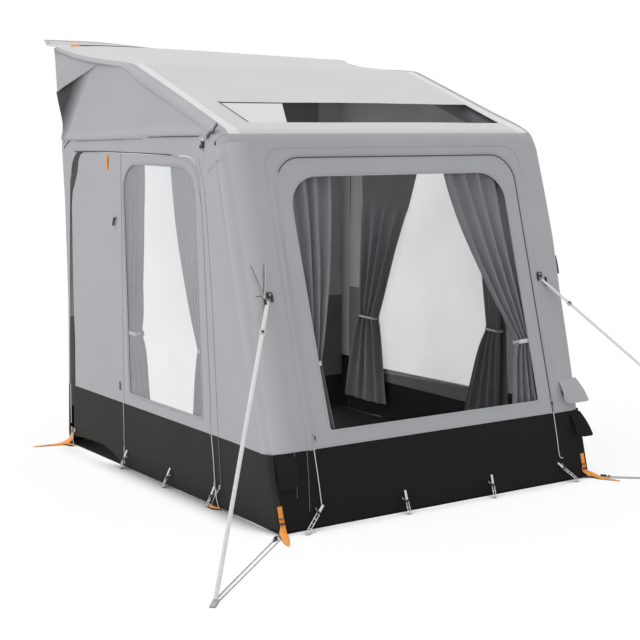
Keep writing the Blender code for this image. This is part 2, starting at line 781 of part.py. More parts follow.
def side_surround(side):
    """Cloth round a side panel: front strip, gusset under the roof and rear strip.

    On the right, where the skirt swings with the panel, the front strip reaches the ground.
    """
    corners = inset(side_corners(), [LAYER, LAYER, LAYER, 0, 0])
    foot = corners[0]
    foot_height = skirt_top(side, foot[0]) if side < 0 else 0
    foot_share = (foot_height - foot[1]) / (corners[1][1] - foot[1])
    foot_y = foot[0] + (corners[1][0] - foot[0]) * foot_share
    rear = SIDE_PANEL_REAR_Y + ZIP_GAP
    top = SIDE_PANEL_TOP_Z + ZIP_GAP
    zip_foot = skirt_top(side, zip_y(SKIRT_HEIGHT))
    outline = [(foot_y, foot_height, 0)] + corners[1:4]
    outline += [
        (REAR_FOOT_Y, 0, 0),
        (rear, 0, 0),
        (rear, top, SIDE_PANEL_REAR_CORNER + ZIP_GAP),
        (zip_y(SIDE_PANEL_TOP_Z) - ZIP_GAP, top, SIDE_PANEL_FRONT_CORNER + ZIP_GAP),
        (zip_y(zip_foot) - ZIP_GAP, zip_foot, 0),
    ]
    if side > 0:
        outline.append((zip_y(zip_foot) - ZIP_GAP, 0, 0))
    return rounded(outline)


def panel_outline(side, rear_y, rear_corner):
    """Outline of a side panel between its sloping front zip and its rear edge."""
    zip_foot = skirt_top(side, zip_y(SKIRT_HEIGHT)) + FIT
    front = [
        (zip_y(zip_foot), zip_foot, 0),
        (zip_y(SIDE_PANEL_TOP_Z), SIDE_PANEL_TOP_Z, SIDE_PANEL_FRONT_CORNER),
    ]
    rear = [
        (rear_y, SIDE_PANEL_TOP_Z, rear_corner),
        (rear_y, skirt_top(side, rear_y) + FIT, 0),
    ]
    return rounded(front + rear)


def side_window(side, margin):
    """Outline of a side window, grown by a margin."""
    if side < 0:
        rear_foot, rear_top = LEFT_WINDOW_REAR_FOOT_Y, LEFT_WINDOW_REAR_TOP_Y
    else:
        rear_foot, rear_top = RIGHT_WINDOW_REAR_FOOT_Y, RIGHT_WINDOW_REAR_TOP_Y
    foot = WINDOW_FOOT_CORNER + margin
    top = SIDE_WINDOW_CORNER + margin
    front_low = skirt_top(side, SIDE_WINDOW_FRONT_FOOT_Y) + SIDE_WINDOW_FOOT_GAP - margin
    rear_low = skirt_top(side, rear_foot) + SIDE_WINDOW_FOOT_GAP - margin
    high = SIDE_WINDOW_TOP_Z + margin
    return rounded(
        [
            (SIDE_WINDOW_FRONT_FOOT_Y - margin, front_low, foot),
            (SIDE_WINDOW_FRONT_TOP_Y - margin, high, top),
            (rear_top + margin, high, top),
            (rear_foot + margin, rear_low, foot),
        ]
    )


def skirt_outline(side, start, end, lift):
    """Outline of a side skirt between two places along the wall."""
    if start is None:
        low = [(LAYER / math.cos(FRONT_LEAN) + front_y(0), lift, 0)]
        high_y = LAYER / math.cos(FRONT_LEAN) + front_y(SKIRT_HEIGHT)
        low.append((high_y, skirt_top(side, high_y) - FIT, 0))
    else:
        low = [(start, lift, 0), (start, skirt_top(side, start) - FIT, 0)]
    high = [(end, skirt_top(side, end) - FIT, 0), (end, lift, 0)]
    return rounded(low + high)


def make_left_side():
    """Left wall: surround, fixed window panel, and the zipped door with its hem."""
    side = -1
    make_surround("left_surround", side)
    half_gap = ZIP_GAP / 2
    panel = panel_outline(side, DOOR_LINE_Y - half_gap, 0)
    window = side_window(side, 0.0)
    side_plate("left_window_panel", [panel, window], side, 0, CLOTH, GREY_CLOTH, BASE)
    film = side_window(side, FILM_LAP)
    side_plate("left_window_film", [film], side, LAYER, FILM, CLEAR, BASE)
    skirt = skirt_outline(side, None, DOOR_LINE_Y - half_gap, 0.0)
    side_plate("left_skirt", [skirt], side, 0, CLOTH, BLACK_CLOTH, BASE)

    hinge = empty("left_door_hinge", (-HALF, DOOR_LINE_Y, 0), BASE)
    front, rear = DOOR_LINE_Y + half_gap, SIDE_PANEL_REAR_Y
    door = rounded(
        [
            (front, GROUND_LIFT, 0),
            (front, SIDE_PANEL_TOP_Z, 0),
            (rear, SIDE_PANEL_TOP_Z, SIDE_PANEL_REAR_CORNER),
            (rear, GROUND_LIFT, 0),
        ]
    )
    slider = side_slider(side, rear - SLIDER_WIDTH, 0.0)
    cloth = loose_plate([door], CLOTH, side_plane(side), -side * CLOTH / 2)
    fuse("left_door", [cloth, slider], GREY_CLOTH, hinge)
    return hinge


def make_surround(name, side):
    """Cloth round a side panel, with the draught pad and the folded wing sewn to its rear."""
    cloth = loose_plate([side_surround(side)], CLOTH, side_plane(side), -side * CLOTH / 2)
    fuse(name, [cloth, draught_pad(side), rear_wing(side)], GREY_CLOTH, BASE)


def side_slider(side, y, tilt):
    """A zip slider whose underside is sewn into a side panel's outer face."""
    height = SKIRT_HEIGHT + SLIDER_HEIGHT + PULL_LENGTH
    turn = Matrix.Rotation(-tilt, 4, "Z")
    place = side_plane(side) @ Matrix.Translation((y, height, 0)) @ turn
    thick = SLIDER_THICKNESS + CLOTH / 2
    return loose_plate([slider_outline()], thick, place, side * (SLIDER_THICKNESS - thick / 2))


def make_right_side():
    """Right wall: surround, and a full-height panel with its skirt that swings on its rear edge."""
    side = 1
    make_surround("right_surround", side)
    hinge = empty("right_panel_hinge", (HALF, SIDE_PANEL_REAR_Y, 0), BASE)
    zip_line = zip_y(skirt_top(side, zip_y(SKIRT_HEIGHT)))
    skirt = skirt_outline(side, zip_line, SIDE_PANEL_REAR_Y, GROUND_LIFT)
    side_plate("right_skirt", [skirt], side, 0, CLOTH, BLACK_CLOTH, hinge)
    panel = panel_outline(side, SIDE_PANEL_REAR_Y, SIDE_PANEL_REAR_CORNER)
    window = side_window(side, 0.0)
    tilt = math.atan2(ZIP_TOP_Y - ZIP_FOOT_Y, SIDE_PANEL_TOP_Z - SKIRT_HEIGHT)
    height = SKIRT_HEIGHT + SLIDER_HEIGHT + PULL_LENGTH
    slider = side_slider(side, zip_y(height) + SLIDER_WIDTH, tilt)
    cloth = loose_plate([panel, window], CLOTH, side_plane(side), -side * CLOTH / 2)
    fuse("right_side_panel", [cloth, slider], GREY_CLOTH, hinge)
    film = side_window(side, FILM_LAP)
    side_plate("right_window_film", [film], side, LAYER, FILM, CLEAR, hinge)
    return hinge


def roof_under(y):
    """Height of the rear roof's underside at a place."""
    return RAIL_Z + (y - RAIL_Y) * math.tan(REAR_ROOF_PITCH) - CLOTH / math.cos(REAR_ROOF_PITCH)


def draught_pad(side):
    """A padded upright against the caravan, sewn to the rear edge of a side wall."""
    lean = math.atan2(RAIL_Y - REAR_FOOT_Y, RAIL_Z)
    rear = plane((0, REAR_FOOT_Y, 0), (1, 0, 0), (0, math.sin(lean), math.cos(lean)))
    outer = side * (HALF - CLOTH / 2)
    inner = side * (HALF - CLOTH - PAD_WIDTH)
    outline = rounded(
        [
            (outer, GROUND_LIFT, 0),
            (outer, PAD_TOP_Z, 0),
            (inner, PAD_TOP_Z, PAD_CORNER),
            (inner, GROUND_LIFT, 0),
        ]
    )
    return loose_plate([outline], PAD_THICKNESS, rear, PAD_THICKNESS / 2 + 2 * FIT)


def rear_wing(side):
    """A folded wing of cloth that stands off the wall under the rear end of the roof."""
    inner = side * (HALF - CLOTH / 2)
    near = side * (HALF + WING_EDGE)
    far = side * (HALF + WING_SPREAD)
    front_z = roof_under(WING_FRONT_Y) - 2 * FIT
    top_z = RAIL_Z - CLOTH - 2 * FIT
    corners = [
        (WING_FRONT_Y, front_z, near),
        (WING_TOP_Y, top_z, far),
        (WING_FOOT_Y, WING_FOOT_Z, far),
    ]

    def fill(made):
        rows = [
            [made.verts.new((inner, y, z)) for y, z, _ in corners],
            [made.verts.new((x, y, z)) for y, z, x in corners],
        ]
        for index in range(3):
            after = (index + 1) % 3
            made.faces.new((rows[0][index], rows[0][after], rows[1][after], rows[1][index]))
        made.faces.new(rows[0])
        made.faces.new(rows[1])

    return loose_mesh(fill)


def make_rail_strip():
    """The strip along the rear of the roof: a flap, a web with eyelets and the rail's bead."""
    strip_y = STRIP_REAR_Y - STRIP_THICKNESS
    high = RAIL_Z + STRIP_HEIGHT
    lip = RAIL_Y + FIT
    web = [
        (lip, RAIL_Z - CLOTH),
        (STRIP_REAR_Y, RAIL_Z - CLOTH),
        (STRIP_REAR_Y, high),
    ]
    half = STRIP_THICKNESS / 2
    open_turn = math.asin(half / BEAD_RADIUS)
    centre_y = STRIP_REAR_Y - half
    centre_z = high + BEAD_RADIUS * math.cos(open_turn)
    for step in range(1, BEAD_STEPS):
        turn = open_turn + (2 * math.pi - 2 * open_turn) * step / BEAD_STEPS
        web.append((centre_y + BEAD_RADIUS * math.sin(turn), centre_z - BEAD_RADIUS * math.cos(turn)))
    web += [(strip_y, high), (strip_y, RAIL_Z), (lip, RAIL_Z)]
    sideways = plane((0, 0, 0), (0, 1, 0), (0, 0, 1))
    strip = loose_plate([web], 2 * STRIP_HALF_WIDTH, sideways)
    upright = plane((0, STRIP_REAR_Y, 0), (1, 0, 0), (0, 0, 1))
    holes = []
    for side in (-1, 1):
        centre = (side * (STRIP_HALF_WIDTH - EYELET_INSET), (RAIL_Z + high) / 2)
        holes.append(loose_plate([ring(EYELET_RADIUS, EYELET_STEPS, centre)], 2 * OVERRUN, upright))
    cut("rail_strip", strip, holes, LIGHT_CLOTH, BASE)


# Inflated poles


def make_poles():
    """One bent pole along each side, cut flat at the ground, and two cross poles."""
    off = LAYER + POLE_RADIUS
    outer = side_corners()
    axis = inset(outer, [off, off, off, 0, 0])
    eave = (axis[1][0], axis[1][1], POLE_BEND_RADIUS)
    ridge = (axis[2][0], axis[2][1], RIDGE_BEND_RADIUS)
    run = Vector((math.sin(FRONT_LEAN), math.cos(FRONT_LEAN)))
    start = Vector((off / math.cos(FRONT_LEAN), 0)) - run * POLE_RADIUS
    back = Vector((math.cos(REAR_ROOF_PITCH), math.sin(REAR_ROOF_PITCH)))
    reach = (RAIL_Y - POLE_REAR_SETBACK - ridge[0]) / back.x
    end = Vector(ridge[:2]) + back * reach
    route = [(*start, 0), eave, ridge, (*end, 0)]
    x = HALF - LAYER - POLE_RADIUS
    ground = plane((0, 0, 0), (1, 0, 0), (0, 1, 0))
    for side, name in ((-1, "left_air_pole"), (1, "right_air_pole")):
        points = [(side * x, p.x, p.y) for p in rounded(route)]
        tube = loose_tube(points, POLE_RADIUS, POLE_BEVEL_RESOLUTION)
        slab = loose_plate([box_outline(2 * WIDTH, WIDTH)], WIDTH, ground, -WIDTH / 2)
        cut(name, tube, [slab], POLE_CLOTH, BASE, True)

    span = x - POLE_RADIUS - FIT
    for corner, name in ((1, "eave_air_pole"), (2, "ridge_air_pole")):
        middle = tangent_points(route, corner, 2)[1]
        points = [(-span, middle.x, middle.y), (span, middle.x, middle.y)]
        tube = loose_tube(points, CROSS_POLE_RADIUS, POLE_BEVEL_RESOLUTION)
        piece(name, tube, POLE_CLOTH, BASE, True)


# Curtains

WALL_TO_CURTAIN = LAYER + FILM + FIT + TIE_BAND_REACH


def fold_depth(width):
    """Half depth of the folds that gather the flat cloth into a width."""
    ratio = CURTAIN_FLAT_WIDTH / width
    steepness = math.sqrt(max(0.0, 2 * (ratio * ratio - 1)))
    return steepness * width / (2 * math.pi * CURTAIN_FOLDS)


def curtain_edges(share, tie_share, hem, lead):
    """The two edges of a curtain at a share of its drop: top, tie-back, foot."""
    if share <= tie_share:
        at = (share / tie_share) ** CURTAIN_LEAD_POWER
        first, second = 0, 1
    else:
        at = ((share - tie_share) / (1 - tie_share)) ** CURTAIN_FLARE_POWER
        first, second = 1, 2
    return [edge[first] + (edge[second] - edge[first]) * at for edge in (hem, lead)]


def make_curtain(name, place, hem, lead, heights, parent):
    """A gathered curtain with its tie band: its folds keep one flat width all the way down."""
    top, tie, foot = heights
    drop = top - foot
    tie_share = (top - tie) / drop
    above = CURTAIN_ROWS * 5 // 8
    rows = [top - (top - tie) * step / above for step in range(above + 1)]
    below = CURTAIN_ROWS - above
    rows += [tie - (tie - foot) * step / below for step in range(1, below + 1)]
    columns = CURTAIN_FOLDS * CURTAIN_COLUMNS_PER_FOLD

    def fill(made):
        grid = []
        for height in rows:
            share = (top - height) / drop
            first, second = curtain_edges(share, tie_share, hem, lead)
            deep = fold_depth(abs(second - first))
            middle = WALL_TO_CURTAIN + deep + CURTAIN_CLOTH
            line = []
            for column in range(columns + 1):
                along = column / columns
                wave = math.sin(2 * math.pi * CURTAIN_FOLDS * along)
                across = first + (second - first) * along
                line.append(made.verts.new(place(across, height, middle + deep * wave)))
            grid.append(line)
        for upper, lower in zip(grid, grid[1:]):
            for column in range(columns):
                made.faces.new(
                    (upper[column], upper[column + 1], lower[column + 1], lower[column])
                )

    item = loose_mesh(fill)
    thick = item.modifiers.new("cloth", "SOLIDIFY")
    thick.thickness = CURTAIN_CLOTH
    thick.offset = 0
    made = fuse(name, [item, tie_band(place, hem, lead, tie)], CURTAIN_CLOTH_LOOK, parent)
    triangulate(made.data)


def tie_band(place, hem, lead, tie):
    """A band round the gathered folds, close against the wall's inner face."""
    deep = fold_depth(abs(hem[1] - lead[1]))
    near = WALL_TO_CURTAIN - TIE_BAND_REACH
    far = WALL_TO_CURTAIN + 2 * deep + 2 * CURTAIN_CLOTH + TIE_BAND_REACH
    middle = (hem[1] + lead[1]) / 2
    width = abs(hem[1] - lead[1]) + 2 * TIE_BAND_REACH
    centre = place(middle, tie, (near + far) / 2)
    across = place(middle + width, tie, (near + far) / 2) - centre
    inwards = place(middle, tie, (near + far) / 2 + width) - centre
    outline = box_outline(width, far - near, corner=(far - near) / 3)
    return loose_plate([outline], TIE_BAND_HEIGHT, plane(centre, across, inwards))


def make_track(name, place, start, end, height, top_widths, parent):
    """A curtain track on brackets, as one comb-shaped outline seen from above."""
    deep = max(fold_depth(width) for width in top_widths)
    back = WALL_TO_CURTAIN + deep + CURTAIN_CLOTH - TRACK_DEPTH / 2
    comb = []
    pitch = (end - start - BRACKET_WIDTH) / (BRACKET_COUNT - 1)
    for index in range(BRACKET_COUNT):
        left = start + pitch * index
        right = left + BRACKET_WIDTH
        comb += [(left, back), (left, LAYER), (right, LAYER), (right, back)]
    comb[0] = (start, back + TRACK_DEPTH)
    comb[-1] = (end, back + TRACK_DEPTH)
    origin = place(0, height, 0)
    across = place(1, height, 0) - origin
    inwards = place(0, height, 1) - origin
    frame = plane(origin, across, inwards)
    piece(name, loose_plate([comb], TRACK_HEIGHT, frame), TRACK_LOOK, parent)


def front_place(x, slant, depth):
    """A place inside the front wall: depth is measured inwards from its outer face."""
    return FRONT @ Vector((x, slant, -depth))


def side_place(side):
    """Places inside a side wall, from (Y, height, depth)."""
    return lambda y, height, depth: Vector((side * (HALF - depth), y, height))


def from_window(edge, inwards, hem_insets, lead_insets):
    """A curtain's two edges at its top, tie-back and foot, from its window's edge at the top."""
    hem = tuple(edge + inwards * inset_here for inset_here in hem_insets)
    lead = tuple(edge + inwards * inset_here for inset_here in lead_insets)
    return {"hem": hem, "lead": lead}


def make_curtains(front_hinge, right_hinge):
    """Six curtains on three tracks, each on its own slide."""
    under = TRACK_HEIGHT / 2 + 2 * FIT
    heights = (FRONT_TRACK_SLANT - under, FRONT_TIE_SLANT, FRONT_CURTAIN_FOOT_SLANT)
    for side, name in ((-1, "front_left"), (1, "front_right")):
        outer = side * FRONT_CURTAIN_OUTER
        hem = (outer, outer, outer)
        widths = (FRONT_CURTAIN_TOP_WIDTH, FRONT_CURTAIN_TIE_WIDTH, FRONT_CURTAIN_FOOT_WIDTH)
        lead = tuple(outer - side * width for width in widths)
        slide = empty(f"{name}_curtain_slide", front_place(outer, heights[0], 0), front_hinge)
        make_curtain(f"{name}_curtain", front_place, hem, lead, heights, slide)
    end = FRONT_CURTAIN_OUTER + TRACK_OVERHANG
    widths = (FRONT_CURTAIN_TOP_WIDTH,)
    name = "front_curtain_track"
    make_track(name, front_place, -end, end, FRONT_TRACK_SLANT, widths, front_hinge)

    left_front = from_window(SIDE_WINDOW_FRONT_TOP_Y, 1, LEFT_FRONT_HEM_INSETS, LEFT_FRONT_LEAD_INSETS)
    left_rear = from_window(LEFT_WINDOW_REAR_TOP_Y, -1, LEFT_REAR_HEM_INSETS, LEFT_REAR_LEAD_INSETS)
    right_front = from_window(
        SIDE_WINDOW_FRONT_TOP_Y, 1, RIGHT_FRONT_HEM_INSETS, RIGHT_FRONT_LEAD_INSETS
    )
    right_rear = from_window(
        RIGHT_WINDOW_REAR_TOP_Y, -1, RIGHT_REAR_HEM_INSETS, RIGHT_REAR_LEAD_INSETS
    )
    walls = (
        (-1, "left", left_front, left_rear, LEFT_CURTAIN_FOOT_Z, BASE),
        (1, "right", right_front, right_rear, RIGHT_CURTAIN_FOOT_Z, right_hinge),
    )
    for side, wall, front, rear, foot, parent in walls:
        heights = (SIDE_TRACK_Z - under, SIDE_TIE_Z, foot)
        place = side_place(side)
        for name, sizes in ((f"{wall}_front", front), (f"{wall}_rear", rear)):
            hem, lead = sizes["hem"], sizes["lead"]
            slide = empty(f"{name}_curtain_slide", place(hem[0], heights[0], 0), parent)
            make_curtain(f"{name}_curtain", place, hem, lead, heights, slide)
        widths = [abs(sizes["hem"][0] - sizes["lead"][0]) for sizes in (front, rear)]
        start = front["hem"][0] - TRACK_OVERHANG
        end = rear["hem"][0] + TRACK_OVERHANG
        make_track(f"{wall}_curtain_track", place, start, end, SIDE_TRACK_Z, widths, parent)


# Small pieces on the walls


def flap_seat(flare):
    """How far a flap's hinge stands off the wall: it runs along the flap's outer edge."""
    return FIT + FLAP_CLOTH * math.cos(flare)


def make_flaps():
    """Corner flaps that hang from their top edges and stand off at the foot."""
    skirt = (SKIRT_FLAP_TOP_SLANT, SKIRT_FLAP_LENGTH, SKIRT_FLAP_FLARE, BLACK_CLOTH)
    valve = (VALVE_FLAP_TOP_SLANT, VALVE_FLAP_LENGTH, VALVE_FLAP_FLARE, LIGHT_CLOTH)
    kinds = [
        ("left_skirt_flap", -1, skirt),
        ("right_skirt_flap", 1, skirt),
        ("valve_flap", 1, valve),
    ]
    for name, side, (slant, length, flare, look) in kinds:
        axis = FRONT @ Vector((0, slant, flap_seat(flare)))
        hinge = empty(f"{name}_hinge", axis, BASE)
        frame = plane(
            axis,
            (1, 0, 0),
            (0, math.sin(FRONT_LEAN + flare), math.cos(FRONT_LEAN + flare)),
        )
        outline = rounded(
            [
                (side * FLAP_INNER_X, 0, 0),
                (side * FLAP_OUTER_X, 0, 0),
                (side * FLAP_OUTER_X, -length, FLAP_CORNER),
                (side * FLAP_INNER_X, -length, FLAP_CORNER),
            ]
        )
        plate(name, [outline], FLAP_CLOTH, frame, -FLAP_CLOTH / 2, look, hinge)


def make_valve():
    """Inflation valve on the front wall's right strip, and its quarter-turn cap."""
    frame = FRONT @ Matrix.Translation((VALVE_X, VALVE_SLANT, FIT))
    flange, neck = VALVE_FLANGE_HEIGHT, VALVE_FLANGE_HEIGHT + VALVE_NECK_HEIGHT
    body = [
        (0, neck),
        (VALVE_NECK_RADIUS, neck),
        (VALVE_NECK_RADIUS, flange),
        (VALVE_FLANGE_RADIUS, flange),
        (VALVE_FLANGE_RADIUS, 0),
        (0, 0),
    ]
    item = turned(body, VALVE_STEPS, frame)
    mesh_item("inflation_valve", as_mesh(item), BLACK_PLASTIC, BASE, True)
    cap_frame = frame @ Matrix.Translation((0, 0, neck + FIT))
    turn = empty("valve_cap_turn", cap_frame.translation, BASE)
    cap = [
        (0, VALVE_CAP_HEIGHT),
        (VALVE_CAP_RADIUS, VALVE_CAP_HEIGHT),
        (VALVE_CAP_RADIUS, 0),
        (0, 0),
    ]
    disc = turned(cap, VALVE_STEPS, cap_frame)
    notch = VALVE_CAP_RADIUS - VALVE_GRIP_WIDTH
    cutters = []
    for sign in (-1, 1):
        outline = box_outline(
            notch, 2 * VALVE_CAP_RADIUS + OVERRUN, (sign * (notch + VALVE_GRIP_WIDTH) / 2, 0)
        )
        depth = VALVE_CAP_HEIGHT - VALVE_GRIP_HEIGHT + OVERRUN / 2
        cutters.append(loose_plate([outline], OVERRUN, cap_frame, depth))
    cut("valve_cap", disc, cutters, BLACK_PLASTIC, turn, True)


def slider_outline():
    """A zip slider with its pull hanging down, about its own centre."""
    w, n, p = SLIDER_WIDTH / 2, SLIDER_LENGTH / 2, PULL_WIDTH / 2
    return [
        (-w, n * 0.4),
        (-w * 0.6, -n * 0.8),
        (-p, -n),
        (-p, -n - PULL_LENGTH),
        (p, -n - PULL_LENGTH),
        (p, -n),
        (w * 0.6, -n * 0.8),
        (w, n * 0.4),
        (w * 0.6, n),
        (-w * 0.6, n),
    ]


def make_sliders(front_hinge):
    """The front panel's two zip sliders, at the feet of their zips."""
    lift = FIT + SLIDER_THICKNESS / 2
    inset_x = PANEL_HALF_WIDTH - SLIDER_WIDTH / 2
    slant = SKIRT_SLANT + SLIDER_HEIGHT + PULL_LENGTH
    for side, name in ((-1, "left_front_slider"), (1, "right_front_slider")):
        place = FRONT @ Matrix.Translation((side * inset_x, slant, 0))
        slide = empty(f"{name}_slide", place.translation, front_hinge)
        plate(name, [slider_outline()], SLIDER_THICKNESS, place, lift, STEEL, slide)


def ladder(name, top, foot, out, parent):
    """A peg ladder: two rails and rungs, from its tab close to the skirt to the ground."""
    top, foot, out = Vector(top), Vector(foot), Vector(out).normalized()
    flat = out.cross(Vector((0, 0, 1))).normalized()
    along = (top - foot).normalized()
    normal = flat.cross(along).normalized()
    across = along.cross(normal)
    reach = LADDER_THICKNESS * abs(normal.dot(out)) + LADDER_WIDTH * abs(across.dot(out))
    top += out * (FIT + reach / 2)
    foot += out * (FIT + reach / 2)
    foot.z = (LADDER_THICKNESS * abs(normal.z) + LADDER_WIDTH * abs(across.z)) / 2
    along = (top - foot).normalized()
    across = along.cross(flat.cross(along).normalized())
    length = (top - foot).length
    outer = box_outline(LADDER_WIDTH, length, (0, length / 2))
    pitch = (length - LADDER_TAB - LADDER_RUNG) / LADDER_GAP_COUNT
    outlines = [outer]
    for index in range(LADDER_GAP_COUNT):
        centre = (0, LADDER_RUNG + pitch * index + (pitch - LADDER_RUNG) / 2)
        outlines.append(box_outline(LADDER_WIDTH - 2 * LADDER_RAIL, pitch - LADDER_RUNG, centre))
    item = loose_plate(outlines, LADDER_THICKNESS, plane(foot, across, along))
    piece(name, item, WEBBING, parent)


def make_ladders(right_hinge):
    """Peg ladders along the front and both sides; their tabs lie against the skirts."""
    slant = LADDER_TOP_Z / math.cos(FRONT_LEAN)
    outward = FRONT.to_3x3() @ Vector((0, 0, 1))
    shares = zip(LADDER_TOP_X_SHARES, LADDER_FOOT_X_SHARES, LADDER_REACH_SHARES)
    for number, (top_share, foot_share, reach_share) in enumerate(shares, 1):
        top = FRONT @ Vector((HALF * top_share, slant, 0))
        foot = (HALF * foot_share, -FRONT_LADDER_REACH * reach_share, 0)
        ladder(f"front_ladder_{number}", top, foot, outward, BASE)
    for side, wall in ((-1, "left"), (1, "right")):
        for number, y in enumerate(SIDE_LADDERS_Y, 1):
            top = (side * HALF, y, LADDER_TOP_Z)
            foot = (side * (HALF + SIDE_LADDER_REACH), y, 0)
            parent = right_hinge if side > 0 and y > ZIP_FOOT_Y else BASE
            ladder(f"{wall}_ladder_{number}", top, foot, (side, 0, 0), parent)


def ribbon(points, across, thickness, width):
    """A flat strap through points, each end square; across is the strap's width direction."""
    points = [Vector(point) for point in points]
    across = Vector(across).normalized()

    def fill(made):
        rows = []
        for index, point in enumerate(points):
            before = points[max(index - 1, 0)]
            after = points[min(index + 1, len(points) - 1)]
            normal = (after - before).normalized().cross(across).normalized()
            half, side = normal * thickness / 2, across * width / 2
            rows.append(
                [
                    made.verts.new(point + half + side),
                    made.verts.new(point + half - side),
                    made.verts.new(point - half - side),
                    made.verts.new(point - half + side),
                ]
            )
        for upper, lower in zip(rows, rows[1:]):
            for index in range(4):
                after = (index + 1) % 4
                made.faces.new((upper[index], upper[after], lower[after], lower[index]))
        made.faces.new(rows[0])
        made.faces.new(list(reversed(rows[-1])))

    return loose_mesh(fill)


def make_straps():
    """Orange corner straps that peg the poles' feet down, each with its slide buckle."""
    lift = STRAP_THICKNESS / 2 + FIT
    top_slant = FRONT_STRAP_TOP_Z / math.cos(FRONT_LEAN)
    floor = STRAP_THICKNESS / 2
    seat = lift + BUCKLE_THICKNESS / 2
    for side, wall in ((-1, "left"), (1, "right")):
        upper = FRONT @ Vector((side * FRONT_STRAP_X, top_slant, lift))
        middle = FRONT @ Vector((side * FRONT_STRAP_X, top_slant / 2, lift))
        knee = FRONT @ Vector((side * FRONT_STRAP_X, top_slant / 4, 3 * lift))
        ground = Vector((side * FRONT_STRAP_GROUND_X, -FRONT_STRAP_GROUND_REACH, floor))
        tail = Vector((side * FRONT_STRAP_TAIL_X, -FRONT_STRAP_TAIL_REACH, floor))
        points = [upper, middle, knee, ground, tail]
        strap = ribbon(points, (1, 0, 0), STRAP_THICKNESS, STRAP_WIDTH)
        centre = (side * FRONT_STRAP_X, top_slant - BUCKLE_TOP_GAP, seat)
        catch = buckle(FRONT @ Matrix.Translation(centre))
        fuse(f"{wall}_front_strap", [strap, catch], ORANGE_WEBBING, BASE)

        out = side * (HALF + lift)
        upper = Vector((out, REAR_STRAP_Y, REAR_STRAP_TOP_Z))
        middle = Vector((out, REAR_STRAP_Y, REAR_STRAP_TOP_Z / 2))
        knee = Vector((out + side * 2 * lift, REAR_STRAP_Y, REAR_STRAP_TOP_Z / 4))
        ground = Vector((side * REAR_STRAP_GROUND_X, REAR_STRAP_Y, floor))
        tail = Vector((side * REAR_STRAP_TAIL_X, REAR_STRAP_TAIL_Y, floor))
        points = [upper, middle, knee, ground, tail]
        strap = ribbon(points, (0, 1, 0), STRAP_THICKNESS, STRAP_WIDTH)
        height = REAR_STRAP_TOP_Z - BUCKLE_TOP_GAP
        place = side_plane(side) @ Matrix.Translation((REAR_STRAP_Y, height, side * seat))
        fuse(f"{wall}_rear_strap", [strap, buckle(place)], ORANGE_WEBBING, BASE)


def buckle(frame):
    """A three-bar slide buckle."""
    outer = box_outline(BUCKLE_WIDTH, BUCKLE_LENGTH)
    offset = (BUCKLE_SLOT + BUCKLE_BAR) / 2
    width = BUCKLE_WIDTH - 2 * BUCKLE_BAR
    slots = [box_outline(width, BUCKLE_SLOT, (0, sign * offset)) for sign in (-1, 1)]
    return loose_plate([outer] + slots, BUCKLE_THICKNESS, frame)


def guy_line(side):
    """Head, foot, direction and width direction of a guy strap, and its ground end's centre.

    The strap starts just clear of its anchor and of the wall, and lands on the ground end.
    """
    up = FRONT.to_3x3() @ Vector((0, 1, 0))
    out = FRONT.to_3x3() @ Vector((0, 0, 1))
    above = Vector((0, 0, 1))
    edge = (side * GUY_X, GUY_SLANT - ANCHOR_LENGTH / 2, ANCHOR_THICKNESS / 2)
    anchor = FRONT @ Vector(edge)
    foot = Vector((side * GUY_FOOT_X, -GUY_FOOT_REACH, GUY_END_THICKNESS))

    def reach(direction):
        wide = GUY_WIDTH * abs(across.dot(direction))
        return (wide + GUY_THICKNESS * abs(normal.dot(direction))) / 2 + FIT

    for _ in range(GUY_PASSES):
        run = (foot - anchor).normalized()
        across = (Vector((1, 0, 0)) - run * run.x).normalized()
        normal = run.cross(across)
        foot.z = GUY_END_THICKNESS + reach(above)
    clear_of_anchor = reach(up) / abs(run.dot(up))
    clear_of_wall = (reach(out) - ANCHOR_THICKNESS / 2) / abs(run.dot(out))
    head = anchor + run * max(clear_of_anchor, clear_of_wall)
    flat = Vector((run.x, run.y, 0)).normalized()
    end_centre = foot + flat * (GUY_END_LENGTH / 2 - GUY_LANDING)
    end_centre.z = GUY_END_THICKNESS / 2
    return head, foot, run, across, flat, end_centre


